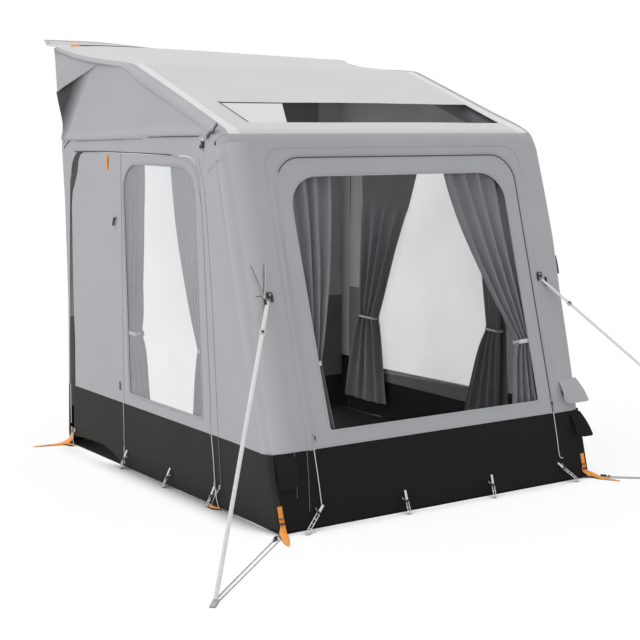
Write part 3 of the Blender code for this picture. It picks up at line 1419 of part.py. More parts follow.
def make_guys():
    """Guy straps from the front wall to the ground, and the lines back to the corners."""
    for side, wall in ((-1, "left"), (1, "right")):
        head, foot, run, across, flat, end_centre = guy_line(side)
        strap = ribbon(spaced(head, foot), across, GUY_THICKNESS, GUY_WIDTH)
        piece(f"{wall}_guy_strap", strap, WEBBING, BASE)

        at = head + (foot - head) * TENSIONER_SHARE
        slide = empty(f"{wall}_tensioner_slide", at, BASE)
        frame = plane(at, across, run.cross(across))
        block = loose_plate([box_outline(TENSIONER_WIDTH, TENSIONER_DEPTH)], TENSIONER_LENGTH, frame)
        play = 2 * TENSIONER_CLEARANCE
        slot = box_outline(GUY_WIDTH + play, GUY_THICKNESS + play)
        bore = loose_plate([slot], TENSIONER_LENGTH + OVERRUN, frame)
        cut(f"{wall}_tensioner", block, [bore], WHITE_PLASTIC, slide)

        end_frame = plane(end_centre, flat, Vector((0, 0, 1)).cross(flat))
        outer = box_outline(GUY_END_LENGTH, GUY_END_WIDTH)
        hole = box_outline(GUY_END_SLOT, GUY_END_SLOT, (GUY_END_LENGTH / 4, 0))
        end = loose_plate([outer, hole], GUY_END_THICKNESS, end_frame)
        piece(f"{wall}_guy_end", end, WHITE_PLASTIC, BASE)

        hook = Vector((side * RETURN_HOOK_X, -RETURN_HOOK_REACH, RETURN_RADIUS))
        near = end_centre - flat * (GUY_END_LENGTH / 2 + RETURN_RADIUS * RETURN_SHARE)
        near.z = RETURN_RADIUS
        sideways = flat.cross(Vector((0, 0, 1)))
        line = loose_tube(return_route(near, hook, sideways), RETURN_RADIUS, 2)
        piece(f"{wall}_return_line", line, WEBBING, BASE, True)


def return_route(near, hook, sideways):
    """A line on the ground that runs out to a hook, turns round it and comes back beside itself."""
    run = (hook - near).normalized()
    beside = Vector((0, 0, 1)).cross(run)
    centre = hook - run * RETURN_TURN_RADIUS
    first = sideways * RETURN_END_SPACING
    last = beside * RETURN_TURN_RADIUS
    out, back = [], []
    for step in range(RETURN_STEPS):
        share = step / RETURN_STEPS
        middle = near + (centre - near) * share
        offset = first + (last - first) * share
        out.append(middle + offset)
        back.append(middle - offset)
    turned_points = []
    for step in range(RETURN_TURN_STEPS + 1):
        turn = math.pi * step / RETURN_TURN_STEPS
        around = beside * math.cos(turn) + run * math.sin(turn)
        turned_points.append(centre + around * RETURN_TURN_RADIUS)
    return out + turned_points + list(reversed(back))


def spaced(start, end):
    """Evenly spaced points of a straight cord."""
    return [start + (end - start) * step / GUY_STEPS for step in range(GUY_STEPS + 1)]


clear_scene()
PARTS = collection("caravan_awning")
CUTTERS = collection("cutters")
BASE_MATRIX = Matrix.Translation((0, ORIGIN_SHIFT, 0))
BASE = None
BASE = empty("awning_base", (0, ORIGIN_SHIFT, 0))

GREY_CLOTH = material("grey_cloth", (0.43, 0.43, 0.46), 0.75)
LIGHT_CLOTH = material("light_cloth", (0.62, 0.63, 0.62), 0.70)
BLACK_CLOTH = material("black_cloth", (0.03, 0.03, 0.03), 0.60)
CURTAIN_CLOTH_LOOK = material("curtain_cloth", (0.22, 0.21, 0.24), 0.85)
POLE_CLOTH = material("pole_cloth", (0.16, 0.16, 0.17), 0.70)
CLEAR = material("clear_film", (0.85, 0.87, 0.88), 0.08, alpha=0.25)
BLACK_PLASTIC = material("black_plastic", (0.02, 0.02, 0.02), 0.40)
WHITE_PLASTIC = material("white_plastic", (0.70, 0.70, 0.70), 0.45)
TRACK_LOOK = material("track_plastic", (0.60, 0.60, 0.60), 0.50)
WEBBING = material("pale_webbing", (0.65, 0.65, 0.65), 0.80)
ORANGE_WEBBING = material("orange_webbing", (0.85, 0.30, 0.05), 0.75)
STEEL = material("slider_steel", (0.55, 0.55, 0.56), 0.35, 0.9)

bpy.context.view_layer.update()
make_roofs()
make_skylight()
FRONT_HINGE = make_front()
make_left_side()
RIGHT_HINGE = make_right_side()
make_rail_strip()
make_poles()
make_curtains(FRONT_HINGE, RIGHT_HINGE)
make_flaps()
make_valve()
make_sliders(FRONT_HINGE)
make_ladders(RIGHT_HINGE)
make_straps()
make_guys()
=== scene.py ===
"""Looks of a sloping caravan awning on inflated poles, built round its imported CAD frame."""

import bisect
import math

import bmesh
import bpy
from mathutils import Matrix, Vector, noise


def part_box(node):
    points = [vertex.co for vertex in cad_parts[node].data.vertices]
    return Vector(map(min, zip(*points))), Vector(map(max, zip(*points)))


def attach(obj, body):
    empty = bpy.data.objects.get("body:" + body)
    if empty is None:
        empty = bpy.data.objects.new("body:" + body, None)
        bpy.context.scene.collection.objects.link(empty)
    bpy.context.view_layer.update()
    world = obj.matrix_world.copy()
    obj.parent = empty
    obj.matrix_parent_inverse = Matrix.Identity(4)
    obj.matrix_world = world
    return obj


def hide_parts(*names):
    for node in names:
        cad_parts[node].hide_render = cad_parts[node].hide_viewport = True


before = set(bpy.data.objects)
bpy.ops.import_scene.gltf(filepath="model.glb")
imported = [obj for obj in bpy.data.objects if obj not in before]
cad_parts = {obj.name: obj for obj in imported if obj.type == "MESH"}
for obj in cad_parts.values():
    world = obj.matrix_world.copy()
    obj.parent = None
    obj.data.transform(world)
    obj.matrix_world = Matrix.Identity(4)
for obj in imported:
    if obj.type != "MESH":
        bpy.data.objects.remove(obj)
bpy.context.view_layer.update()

# Sizes that repeat the part's own, in metres; a plan point is (across, depth, height)
SHIFT = -1.1315
HALF = 1.0
FRONT_TOP, RIDGE, RAIL = (0.525, 1.867), (1.535, 2.218), (2.369, 2.349)
LEAN = math.atan2(*FRONT_TOP)
SIN, COS = math.sin(LEAN), math.cos(LEAN)
SKIRT_Z = 0.36
SKIRT_V = SKIRT_Z / COS
RAIL_FLARE = 0.0275
WALL_TO_CURTAIN = 0.0086
THIN = 0.0014
SIDES = ((-1, "left"), (1, "right"))
X, Y, Z = Vector((1, 0, 0)), Vector((0, 1, 0)), Vector((0, 0, 1))
UP, OUT = Vector((0, SIN, COS)), Vector((0, -COS, SIN))


def plan(x, y, z):
    """A point of the part's plan in the row frame."""
    return Vector((x, y + SHIFT, z))


def front(u, v, w=0.0):
    """A point of the front wall: across, up the slope, and out of it."""
    return plan(u, v * SIN - w * COS, v * COS + w * SIN)


# Camera, from a fit to the photograph

FOCAL, PHOTO_WIDTH, SENSOR = 1436.38, 640, 36
YAW, PITCH, ROLL = math.radians(34.707), math.radians(-8.009), math.radians(0.295)
CAMERA_PLACE = (-4.5764, -6.5948, 1.9374)
forward = Vector((math.sin(YAW) * math.cos(PITCH), math.cos(YAW) * math.cos(PITCH), math.sin(PITCH)))
level = Vector((math.cos(YAW), -math.sin(YAW), 0))
upward = level.cross(forward)
camera_x = level * math.cos(ROLL) + upward * math.sin(ROLL)
camera_y = -level * math.sin(ROLL) + upward * math.cos(ROLL)
camera_data = bpy.data.cameras.new("camera")
camera_data.lens = FOCAL * SENSOR / PHOTO_WIDTH
camera_data.sensor_width = SENSOR
camera_data.sensor_fit = "HORIZONTAL"
camera = bpy.data.objects.new("camera", camera_data)
bpy.context.scene.collection.objects.link(camera)
turned_axes = Matrix((camera_x, camera_y, -forward)).transposed().to_4x4()
camera.matrix_world = Matrix.Translation(CAMERA_PLACE) @ turned_axes
bpy.context.scene.camera = camera
bpy.context.scene.view_settings.view_transform = "Standard"


# Materials


class Tree:
    """A node tree whose nodes are made and linked with few words."""

    def __init__(self, tree):
        self.tree = tree

    def feed(self, socket, value):
        if isinstance(value, bpy.types.NodeSocket):
            self.tree.links.new(value, socket)
        else:
            socket.default_value = value

    def add(self, kind, *places, **names):
        """A new node; its inputs are fed by place or by name."""
        node = self.tree.nodes.new("ShaderNode" + kind)
        for key, value in [*enumerate(places), *names.items()]:
            self.feed(node.inputs[key], value)
        return node

    def math(self, kind, a, b):
        node = self.add("Math", a, b)
        node.operation = kind
        return node.outputs[0]


class Look(Tree):
    """A material on one Principled shader, in the piece's own coordinates."""

    def __init__(self, name, rough, gloss=0.5, sheen=0.0):
        self.material = bpy.data.materials.new(name)
        self.material.use_nodes = True
        super().__init__(self.material.node_tree)
        self.shader = self.tree.nodes["Principled BSDF"]
        self.put(Roughness=rough, Specular_IOR_Level=gloss, Sheen_Weight=sheen)
        self.coords = self.add("TexCoord").outputs["Object"]

    def put(self, **values):
        for name, value in values.items():
            self.feed(self.shader.inputs[name.replace("_", " ")], value)
        return self.material

    def noise(self, scale, detail=3.0, rough=0.5):
        return self.add("TexNoise", Scale=scale, Detail=detail, Roughness=rough, Vector=self.coords).outputs["Fac"]

    def wave(self, scale, direction):
        node = self.add("TexWave", Scale=scale, Vector=self.coords)
        node.bands_direction = direction
        return node.outputs["Fac"]

    def ramp(self, source, stops):
        node = self.add("ValToRGB", source)
        elements = node.color_ramp.elements
        while len(elements) < len(stops):
            elements.new(0.5)
        for element, (place, colour) in zip(elements, stops):
            element.position = place
            element.color = (*colour, 1) if hasattr(colour, "__len__") else (colour,) * 3 + (1,)
        return node.outputs["Color"]

    def patches(self, source, colour, low, stops=(0.3, 0.7)):
        """A tone that comes and goes between a share of the colour and the colour."""
        return self.ramp(source, [(stops[0], tuple(channel * low for channel in colour)), (stops[1], colour)])

    def bump(self, height, strength, distance, **below):
        return self.add("Bump", Strength=strength, Distance=distance, Height=height, **below).outputs["Normal"]

    def place(self, axis):
        return self.add("SeparateXYZ", self.coords).outputs[axis]


WEAVE = 900.0


def cloth(name, colour, low=0.9, rough=0.8, sheen=0.08, crease=0.0012, patch=2.4):
    """Woven polyester: broad tone, faint creases and a fine weave."""
    made = Look(name, rough, 0.25, sheen)
    threads = made.math("ADD", made.wave(WEAVE, "X"), made.wave(WEAVE, "Z"))
    threads = made.math("ADD", threads, made.wave(WEAVE, "Y"))
    fine = made.bump(threads, 0.12, 0.0003)
    creases = made.bump(made.noise(9.0, 5.0, 0.6), 0.35, crease, Normal=fine)
    return made.put(Base_Color=made.patches(made.noise(patch, 4.0), colour, low), Normal=creases)


def plastic(name, colour, rough=0.4):
    """Moulded plastic with a fine grain and slightly uneven gloss."""
    made = Look(name, rough)
    speck = made.noise(260.0)
    gloss = made.ramp(speck, [(0.3, rough * 0.8), (0.7, min(1.0, rough * 1.25))])
    tone = made.patches(made.noise(30.0), colour, 0.85)
    return made.put(Base_Color=tone, Normal=made.bump(speck, 0.15, 0.0002), Roughness=gloss)


def webbing(name, colour, low):
    """Woven strap: ribs across it and a slightly worn tone."""
    made = Look(name, 0.75, sheen=0.1)
    tone = made.patches(made.noise(60.0, 4.0), colour, low, (0.3, 0.65))
    ribs = made.math("ADD", made.wave(520.0, "DIAGONAL"), made.noise(700.0, 2.0))
    return made.put(Base_Color=tone, Normal=made.bump(ribs, 0.5, 0.0004))


def film(name, colour, alpha_low, alpha_high, gloss=0.5):
    """Clear vinyl with a faint haze that comes and goes."""
    made = Look(name, 0.08, gloss)
    alpha = made.ramp(made.noise(0.9, 2.0), [(0.35, alpha_low), (0.65, alpha_high)])
    ripple = made.bump(made.noise(4.0, 2.0), 0.2, 0.004)
    return made.put(Base_Color=made.patches(made.noise(3.0), colour, 0.96), Normal=ripple, Alpha=alpha)


def painted_light_cloth(name, rough, gloss, share, wobble, stops, weave):
    """Wall cloth with painted light and shade: its tone follows a share of its place; wobble is a noise scale and
    height.
    """
    made = Look(name, rough, gloss)
    share = made.math("ADD", share(made), made.math("MULTIPLY", made.noise(wobble[0]), wobble[1]))
    return made.put(Base_Color=made.ramp(share, stops), Normal=made.bump(made.wave(WEAVE, "Z"), weave, 0.0003))


def from_left_edge(made):
    return made.math("DIVIDE", made.math("ADD", made.place(0), HALF), 0.13)


def into_wing_shade(made):
    y = made.math("MULTIPLY", made.math("SUBTRACT", made.place(1), 1.985 + SHIFT), 0.764)
    z = made.math("MULTIPLY", made.math("SUBTRACT", made.place(2), 2.186), 0.645)
    return made.math("DIVIDE", made.math("ADD", y, z), 0.115)


GREY = cloth("grey_wall_cloth", (0.415, 0.415, 0.435), 0.95)
FRONT_GREY = cloth("front_wall_cloth", (0.415, 0.42, 0.435), 0.95)
# Painted light: a lighter band down the front left corner, where light falls on the rounded pole, fading into the front
# wall's grey
CORNER_PAINTED_LIGHT = painted_light_cloth("corner_wall_painted_light", 0.8, 0.25, from_left_edge, (9.0, 0.06), [
    (0.03, (0.43, 0.43, 0.45)), (0.18, (0.495, 0.495, 0.515)), (0.55, (0.47, 0.472, 0.49)),
    (1.0, (0.412, 0.417, 0.432)),
], 0.10)
# Painted shade: under each folded wing the wall cloth darkens from its grey to near black towards the rear edge
WING_PAINTED_SHADE = painted_light_cloth("wing_shade_look", 0.85, 0.2, into_wing_shade, (14.0, 0.10), [
    (0.06, (0.39, 0.39, 0.41)), (0.45, (0.20, 0.20, 0.21)), (1.0, (0.055, 0.055, 0.058)),
], 0.12)
INNER = cloth("wall_cloth_inside", (0.50, 0.50, 0.49), 0.85)
INNER_LOW = cloth("wall_cloth_low_inside", (0.19, 0.19, 0.195), 0.85)
ROOF_LIGHT = cloth("roof_cloth_outside", (0.60, 0.61, 0.60), 0.96)
ROOF_INNER = cloth("roof_cloth_inside", (0.10, 0.10, 0.10), 0.85)
BINDING = cloth("pale_binding", (0.72, 0.73, 0.72), 0.95, patch=8.0)
# One black skirt cloth in two copies: darker on the front face as painted shade, lighter on the side walls as painted
# light
FRONT_BLACK_SHADED = cloth("black_skirt_painted_shade", (0.0036, 0.0038, 0.0044), 0.75, sheen=0.0, patch=5.0)
SIDE_BLACK_LIT = cloth("black_skirt_painted_lit", (0.0185, 0.0185, 0.0172), 0.8, rough=0.7, sheen=0.02, patch=4.0)
BLACK_INSIDE = cloth("black_skirt_inside", (0.002, 0.002, 0.002), 0.7, rough=0.9, sheen=0.0)
CURTAIN = cloth("curtain_cloth", (0.215, 0.207, 0.225), 0.85, crease=0.002, patch=5.0)
TIE = cloth("tie_band_cloth", (0.62, 0.62, 0.62), patch=20.0)
POLE = cloth("pole_sleeve_cloth", (0.16, 0.16, 0.17), 0.85, patch=6.0)
FRONT_FILM = film("front_film", (0.8, 0.82, 0.82), 0.001, 0.004, 0.02)
SIDE_FILM = film("side_film", (0.62, 0.64, 0.66), 0.22, 0.34)
SKY_FILM = film("skylight_film_look", (0.35, 0.36, 0.37), 0.008, 0.024, 0.10)
BLACK_PLASTIC = plastic("black_plastic_look", (0.02, 0.02, 0.02))
WHITE_PLASTIC = plastic("white_plastic_look", (0.66, 0.67, 0.66))
GREY_PLASTIC = plastic("grey_plastic_look", (0.40, 0.41, 0.42), 0.5)
PALE_WEBBING = webbing("pale_webbing_look", (0.76, 0.76, 0.76), 0.88)
ORANGE_WEBBING = webbing("orange_webbing_look", (0.94, 0.34, 0.045), 0.9)
ZIP_DARK = cloth("zip_tape", (0.07, 0.07, 0.08), 0.8, patch=20.0)
SEAM = cloth("seam_tape", (0.25, 0.25, 0.265), 0.85, patch=20.0)
STEEL = plastic("slider_metal", (0.42, 0.42, 0.43), 0.3)
WALL, SKIRT, LOW_WALL = [GREY, INNER], [SIDE_BLACK_LIT, BLACK_INSIDE], [GREY, INNER, SIDE_BLACK_LIT, BLACK_INSIDE]


# Mesh helpers


def steps_round(count):
    return [2 * math.pi * index / count for index in range(count)]


def even(a, b, count):
    """Evenly spaced values or points from a to b."""
    return [a + (b - a) * i / count for i in range(count + 1)]


def ring_pairs(count):
    return [(i, (i + 1) % count) for i in range(count)]


def neighbours(points, index):
    return points[max(index - 1, 0)], points[min(index + 1, len(points) - 1)]


def dense_line(points, spacing):
    """The same line with a point at least every spacing."""
    dense = []
    for a, b in zip(points, points[1:]):
        count = max(1, int((b - a).length / spacing))
        dense += [a + (b - a) * i / count for i in range(count)]
    return dense + [points[-1]]


def in_table(at, table):
    """Value of an evenly spaced table at a place counted in its steps."""
    low = min(int(at), len(table) - 2)
    return table[low] + (table[low + 1] - table[low]) * (at - low)


def between(value, pairs):
    """Value read off a table of pairs."""
    if value <= pairs[0][0]:
        return pairs[0][1]
    for (a, low), (b, high) in zip(pairs, pairs[1:]):
        if value <= b:
            return low + (high - low) * (value - a) / (b - a)
    return pairs[-1][1]


def smooth(value, low, high):
    """0 below low, 1 above high, and an even curve between."""
    t = max(0.0, min(1.0, (value - low) / (high - low)))
    return t * t * (3 - 2 * t)


def wander(u, v, scale_u, scale_v, seed, height):
    """Smooth relief from seeded noise."""
    return noise.noise(Vector((u * scale_u, v * scale_v, seed))) * height


def turned(vector, angle):
    c, s = math.cos(angle), math.sin(angle)
    return Vector((vector.x * c - vector.y * s, vector.x * s + vector.y * c))


def bend(before, here, after, radius, steps):
    """Points of the arc that rounds a corner."""
    a, b = (before - here).normalized(), (after - here).normalized()
    half = math.acos(a.dot(b)) / 2
    centre = here + (a + b).normalized() * radius / math.sin(half)
    first, last = (here + run * (radius / math.tan(half)) - centre for run in (a, b))
    angle = math.atan2(first.x * last.y - first.y * last.x, first.dot(last))
    return [centre + turned(first, angle * step / steps) for step in range(steps + 1)]


def rounded(corners, steps=7):
    """A closed outline through (x, y, radius) corners."""
    points = []
    for index, (x, y, radius) in enumerate(corners):
        here = Vector((x, y))
        if radius <= 0:
            points.append(here)
            continue
        before, after = Vector(corners[index - 1][:2]), Vector(corners[(index + 1) % len(corners)][:2])
        half = (before - here).angle(after - here) / 2
        reach = min(radius / math.tan(half), (before - here).length * 0.49, (after - here).length * 0.49)
        points += bend(before, here, after, reach * math.tan(half), steps)
    return points


def smooth_path(points, per=6):
    """A smooth curve through points."""
    points = [Vector(p) for p in points]
    result = []
    for index, (b, c) in enumerate(zip(points, points[1:])):
        a, d = points[max(index - 1, 0)], points[min(index + 2, len(points) - 1)]
        for step in range(per):
            t = step / per
            bow, twist = 2 * a - 5 * b + 4 * c - d, 3 * b - 3 * c + d - a
            result.append(0.5 * (2 * b + (c - a) * t + bow * t * t + twist * t ** 3))
    return result + [points[-1]]


def link(name, mesh, materials):
    item = bpy.data.objects.new(name, mesh)
    bpy.context.scene.collection.objects.link(item)
    for material in materials:
        mesh.materials.append(material)
    return item


def from_bmesh(name, made, materials):
    mesh = bpy.data.meshes.new(name)
    made.to_mesh(mesh)
    made.free()
    return link(name, mesh, materials)


def settle(item, body, replaces=()):
    """Smooths a piece, sets its body, and hides the solids that it stands for."""
    item.data.shade_smooth()
    item.data.set_sharp_from_angle(angle=math.radians(42))
    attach(item, body)
    if replaces:
        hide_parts(*replaces)
    return item


def flat_area(points):
    return abs(sum(a[0] * b[1] - a[1] * b[0] for a, b in zip(points, points[1:] + points[:1]))) / 2


def thicken(item, thickness, inner, outward):
    """Turns an open sheet into a closed one; outward is a direction that its front faces."""
    mesh = item.data
    mesh.update()
    if max(mesh.polygons, key=lambda f: f.area).normal.dot(outward) < 0:
        mesh.flip_normals()
    shell = item.modifiers.new("thickness", "SOLIDIFY")
    shell.thickness, shell.offset = thickness, -1
    shell.material_offset, shell.material_offset_rim = inner, 0
    bpy.context.view_layer.update()
    graph = bpy.context.evaluated_depsgraph_get()
    solid = bpy.data.meshes.new_from_object(item.evaluated_get(graph))
    item.modifiers.clear()
    item.data = solid


def grid_item(name, rows, materials):
    """An open sheet through rows of points."""
    made = bmesh.new()
    grid = [[made.verts.new(p) for p in row] for row in rows]
    for a, b in zip(grid, grid[1:]):
        for i in range(len(a) - 1):
            made.faces.new((a[i], a[i + 1], b[i + 1], b[i]))
    return from_bmesh(name, made, materials)


def make_sheet(
    name, outline, place, outward, materials=WALL, replaces=(), holes=(), body="shell",
    inner=1, thickness=THIN, step=0.04, relief=None, colour_of=None, lines=(),
):
    """A closed sheet of cloth cut from a flat outline with holes, laid on a curved place."""
    made = bmesh.new()
    edges = []
    for loop in (outline, *holes):
        corners = [made.verts.new((p[0], p[1], 0)) for p in loop]
        edges += [made.edges.new((corners[i - 1], corners[i])) for i in range(len(corners))]
    bmesh.ops.triangle_fill(made, edges=edges, use_beauty=True, normal=(0, 0, 1))
    cuts, flat = list(lines), []
    for axis in (0, 1):
        low, high = min(p[axis] for p in outline), max(p[axis] for p in outline)
        count = max(1, round((high - low) / step))
        cuts += [(axis, low + (high - low) * index / count) for index in range(1, count)]
        flat.append(high - low)
    for axis, value in cuts:
        normal = Y if axis else X
        bmesh.ops.bisect_plane(
            made, geom=made.verts[:] + made.edges[:] + made.faces[:], dist=1e-6,
            plane_co=normal * value, plane_no=normal,
        )
    bmesh.ops.remove_doubles(made, verts=made.verts, dist=0.0004)
    for face in made.faces:
        if face.normal.z < 0:
            face.normal_flip()
        middle = face.calc_center_median()
        face.material_index = colour_of(middle.x, middle.y) if colour_of else 0
    for vertex in made.verts:
        u, v = vertex.co.x, vertex.co.y
        vertex.co = place(u, v, relief(u, v) if relief else 0.0)
    made.normal_update()
    item = from_bmesh(name, made, materials)
    thicken(item, thickness, inner, Vector(outward))
    settle(item, body, replaces)
    area = flat_area(outline) - sum(flat_area(h) for h in holes)
    tuple(flat)


class Parts:
    """One mesh built from several closed pieces, each with its own material."""

    def __init__(self, name, *materials):
        self.name, self.materials = name, materials
        self.mesh = bmesh.new()

    def loft(self, rows, material=0, closed=False):
        """A skin through rings of points; material is one index, or one for each row."""
        rows = [[self.mesh.verts.new(p) for p in row] for row in rows]
        looks = material if isinstance(material, list) else [material] * len(rows)
        faces = []
        for a, b, look in zip(rows, rows[1:] + rows[:1] if closed else rows[1:], looks):
            faces += [(self.mesh.faces.new((a[i], a[j], b[j], b[i])), look) for i, j in ring_pairs(len(a))]
        if not closed:
            faces += [(self.mesh.faces.new(rows[0][::-1]), looks[0]), (self.mesh.faces.new(rows[-1]), looks[-1])]
        for face, look in faces:
            face.material_index = look

    def sweep(self, points, section, across, material=0, scales=None, closed=False):
        """Carries a closed section along points; across is the section's own x direction."""
        points = [Vector(p) for p in points]
        rows = []
        for index, point in enumerate(points):
            before, after = neighbours(points, index)
            if closed:
                before, after = points[index - 1], points[(index + 1) % len(points)]
            along = (after - before).normalized()
            wide = Vector(across[index] if isinstance(across, list) else across)
            wide = (wide - along * along.dot(wide)).normalized()
            up = wide.cross(along)
            size = scales[index] if scales else 1.0
            rows.append([point + (wide * x + up * y) * size for x, y in section])
        self.loft(rows, material, closed)

    def tube(self, points, radius, material=0, sides=8, scales=None):
        section = [(radius * math.cos(t), radius * math.sin(t)) for t in steps_round(sides)]
        points = [Vector(p) for p in points]
        wide = (points[1] - points[0]).orthogonal().normalized()
        across = []
        for index in range(len(points)):
            before, after = neighbours(points, index)
            along = (after - before).normalized()
            wide = (wide - along * along.dot(wide)).normalized()
            across.append(wide.copy())
        self.sweep(points, section, across, material, scales)

    def block(self, centre, axes, sizes, material=0, bevel=0.0):
        """A bevelled block on three axes."""
        matrix = Matrix([Vector(a).normalized() for a in axes]).transposed().to_4x4()
        matrix.translation = Vector(centre)
        scale = Matrix.Diagonal((*sizes, 1))
        made = bmesh.ops.create_cube(self.mesh, size=1.0, matrix=matrix @ scale)
        faces = {f for v in made["verts"] for f in v.link_faces}
        if bevel:
            edges = {e for v in made["verts"] for e in v.link_edges}
            for face in faces:
                face.material_index = material
            faces = bmesh.ops.bevel(
                self.mesh, geom=list(edges), offset=bevel, segments=2, affect="EDGES", profile=0.6,
            )["faces"]
        for face in faces:
            face.material_index = material

    def blocks(self, place, axes, rows):
        """Blocks on one place: each row has its u, v and w, sizes, material and bevel."""
        for at, sizes, material, bevel in rows:
            self.block(place(*at), axes, sizes, material, bevel)

    def done(self, body, slot, *replaces):
        bmesh.ops.recalc_face_normals(self.mesh, faces=self.mesh.faces)
        return settle(from_bmesh(self.name, self.mesh, self.materials), body, replaces)


def strap_section(width, thickness, edge=0.35):
    """A flat strap's section with rounded edges."""
    w, t = width / 2, thickness / 2
    e = min(t * 2 * edge, w * 0.5)
    half = [(-w + e, -t), (w - e, -t), (w, -t * 0.4), (w, t * 0.4)]
    return half + [(-x, -y) for x, y in half]


# Guy straps and return lines: the free cords

GUY_X, GUY_SLANT, GUY_FOOT = 0.89, 1.127 - 0.017, (1.741, -0.64)
GUY_WIDTH, GUY_THICK, GUY_LIFT, FIT = 0.020, 0.0025, 0.0025, 0.0003
END_LENGTH, END_THICK, END_HOLE, TEETH = 0.080, 0.008, 0.014, 9
CORD_RADIUS, LOOP_RADIUS, CORD_SPREAD = 0.0025, 0.0125, 0.010
HOOK_PLACE = (1.06, -0.05)


def guy_line(side):
    """Head, foot, direction and width direction of a guy strap, and its ground end's centre."""
    move = Vector((0, SHIFT, 0))
    anchor = front(side * GUY_X, GUY_SLANT, GUY_LIFT) - move
    foot = Vector((side * GUY_FOOT[0], GUY_FOOT[1], END_THICK))

    def reach(direction):
        return (GUY_WIDTH * abs(across.dot(direction)) + GUY_THICK * abs(normal.dot(direction))) / 2 + FIT

    for _ in range(3):
        run = (foot - anchor).normalized()
        across = (X - run * run.x).normalized()
        normal = run.cross(across)
        foot.z = END_THICK + reach(Z)
    clear = max(reach(UP) / abs(run.dot(UP)), (reach(OUT) - GUY_LIFT) / abs(run.dot(OUT)))
    head = anchor + run * clear
    flat = Vector((run.x, run.y, 0)).normalized()
    centre = foot + flat * (END_LENGTH / 2 - END_HOLE)
    centre.z = END_THICK / 2
    return head + move, foot + move, run, across, flat, centre + move


def return_route(near, hook, sideways):
    """Out to the hook, round it and back, as one loop of cord."""
    run = (hook - near).normalized()
    beside = Z.cross(run)
    centre = hook - run * LOOP_RADIUS
    first, last = sideways * CORD_SPREAD, beside * LOOP_RADIUS
    middles = [near + (centre - near) * (i / 12) for i in range(12)]
    offsets = [first + (last - first) * (i / 12) for i in range(12)]
    bow = [centre + (beside * math.cos(t) + run * math.sin(t)) * LOOP_RADIUS for t in even(0, math.pi, 10)]
    return [m + o for m, o in zip(middles, offsets)] + bow + [m - o for m, o in zip(middles, offsets)][::-1]


for side, wall in SIDES:
    head, foot, run, across, flat, centre = guy_line(side)
    route = even(head, foot, 48)
    depth_axis = run.cross(across)
    rolls = [0.16 * math.sin(math.pi * i / 48) * math.sin(2.2 * math.pi * i / 48) for i in range(49)]
    widths = [across * math.cos(roll) + depth_axis * math.sin(roll) for roll in rolls]
    strap = Parts(f"{wall}_guy_webbing", PALE_WEBBING)
    strap.sweep(route, strap_section(GUY_WIDTH, GUY_THICK), widths)
    strap = strap.done("shell", "pale_webbing", f"{wall}_guy_strap")

    at, axes = head + (foot - head) * 0.12, (across, depth_axis, run)
    clip = Parts(f"{wall}_guy_tensioner", WHITE_PLASTIC, BLACK_PLASTIC)
    for sign in (-1, 1):
        clip.block(at + across * sign * 0.0125, axes, (0.003, 0.010, 0.026), 0, 0.0012)
    for shift_run in (-0.011, 0.0, 0.011):
        for sign in (-1, 1):
            bar = at + run * shift_run + depth_axis * sign * 0.0037
            clip.block(bar, axes, (0.026, 0.0028, 0.0034), 0, 0.001)
    clip.block(at + depth_axis * 0.0056, axes, (0.012, 0.0016, 0.012), 1, 0.0006)
    clip = clip.done(f"{wall}_tensioner", "white_plastic", f"{wall}_tensioner")

    end = Parts(f"{wall}_guy_ground_end", GREY_PLASTIC, BLACK_PLASTIC)
    beside = Z.cross(flat)
    notched = [(END_LENGTH * (step / TEETH - 0.5), 0.013 - (0.0025 if step % 2 else 0.0)) for step in range(TEETH + 1)]
    outline = [(x, -y) for x, y in notched] + [(-x, y) for x, y in notched]
    layers = ((-0.004, 0.97), (-0.003, 1.0), (0.003, 1.0), (0.004, 0.95))
    end.loft([[centre + flat * x * k + beside * y * k + Z * z for x, y in outline] for z, k in layers])
    end = end.done("shell", "white_plastic", f"{wall}_guy_end")

    near = centre - flat * (END_LENGTH / 2 + CORD_RADIUS * 0.25)
    near.z = CORD_RADIUS
    hook = plan(side * HOOK_PLACE[0], HOOK_PLACE[1], CORD_RADIUS)
    fine = smooth_path(return_route(near, hook, flat.cross(Z)), 3)
    line = Parts(f"{wall}_return_cord", PALE_WEBBING)
    line.tube(fine, CORD_RADIUS)
    line = line.done("shell", "pale_webbing", f"{wall}_return_line")
    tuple(head)
    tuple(fine[0])
    sum((b - a).length for a, b in zip(fine, fine[1:]))


# Places on the awning

PRESS = [
    (0.0, 0.020), (0.40, 0.026), (0.60, 0.036), (0.80, 0.041), (1.04, 0.046), (1.34, 0.060), (1.60, 0.057),
    (1.84, 0.050), (1.93, 0.026), (2.06, 0.0),
]
LEFT_PRESS = 0.45


def pressed(point):
    """Carries a point outwards where an inflated corner pole presses the cloth out."""
    side = 1 if point.x > 0 else -1
    depth = (point.y - SHIFT - point.z * math.tan(LEAN)) * COS
    reach = between(point.z / COS, PRESS) * (1.0 if side > 0 else LEFT_PRESS)
    reach *= smooth(abs(point.x), 0.87, 0.975) * (1 - smooth(depth, 0.10, 0.36))
    return Vector((point.x + side * reach, point.y, point.z))


def wrap(half, radius, u, w):
    """How far across and how deep a point lies that is carried round an edge."""
    over = abs(u) - (half - radius)
    if over <= 0:
        return u, -w
    turn = min(over / radius, math.pi / 2)
    extra = max(0.0, over - radius * math.pi / 2)
    x = half - radius + (radius + w) * math.sin(turn)
    return math.copysign(x, u), radius - (radius + w) * math.cos(turn) + extra


def wrapped(radius):
    """The front wall carried round the corner poles onto the side walls."""

    def place(u, v, w=0.0):
        x, depth = wrap(HALF, radius, u, w)
        return pressed(front(x, v, -depth))

    return place


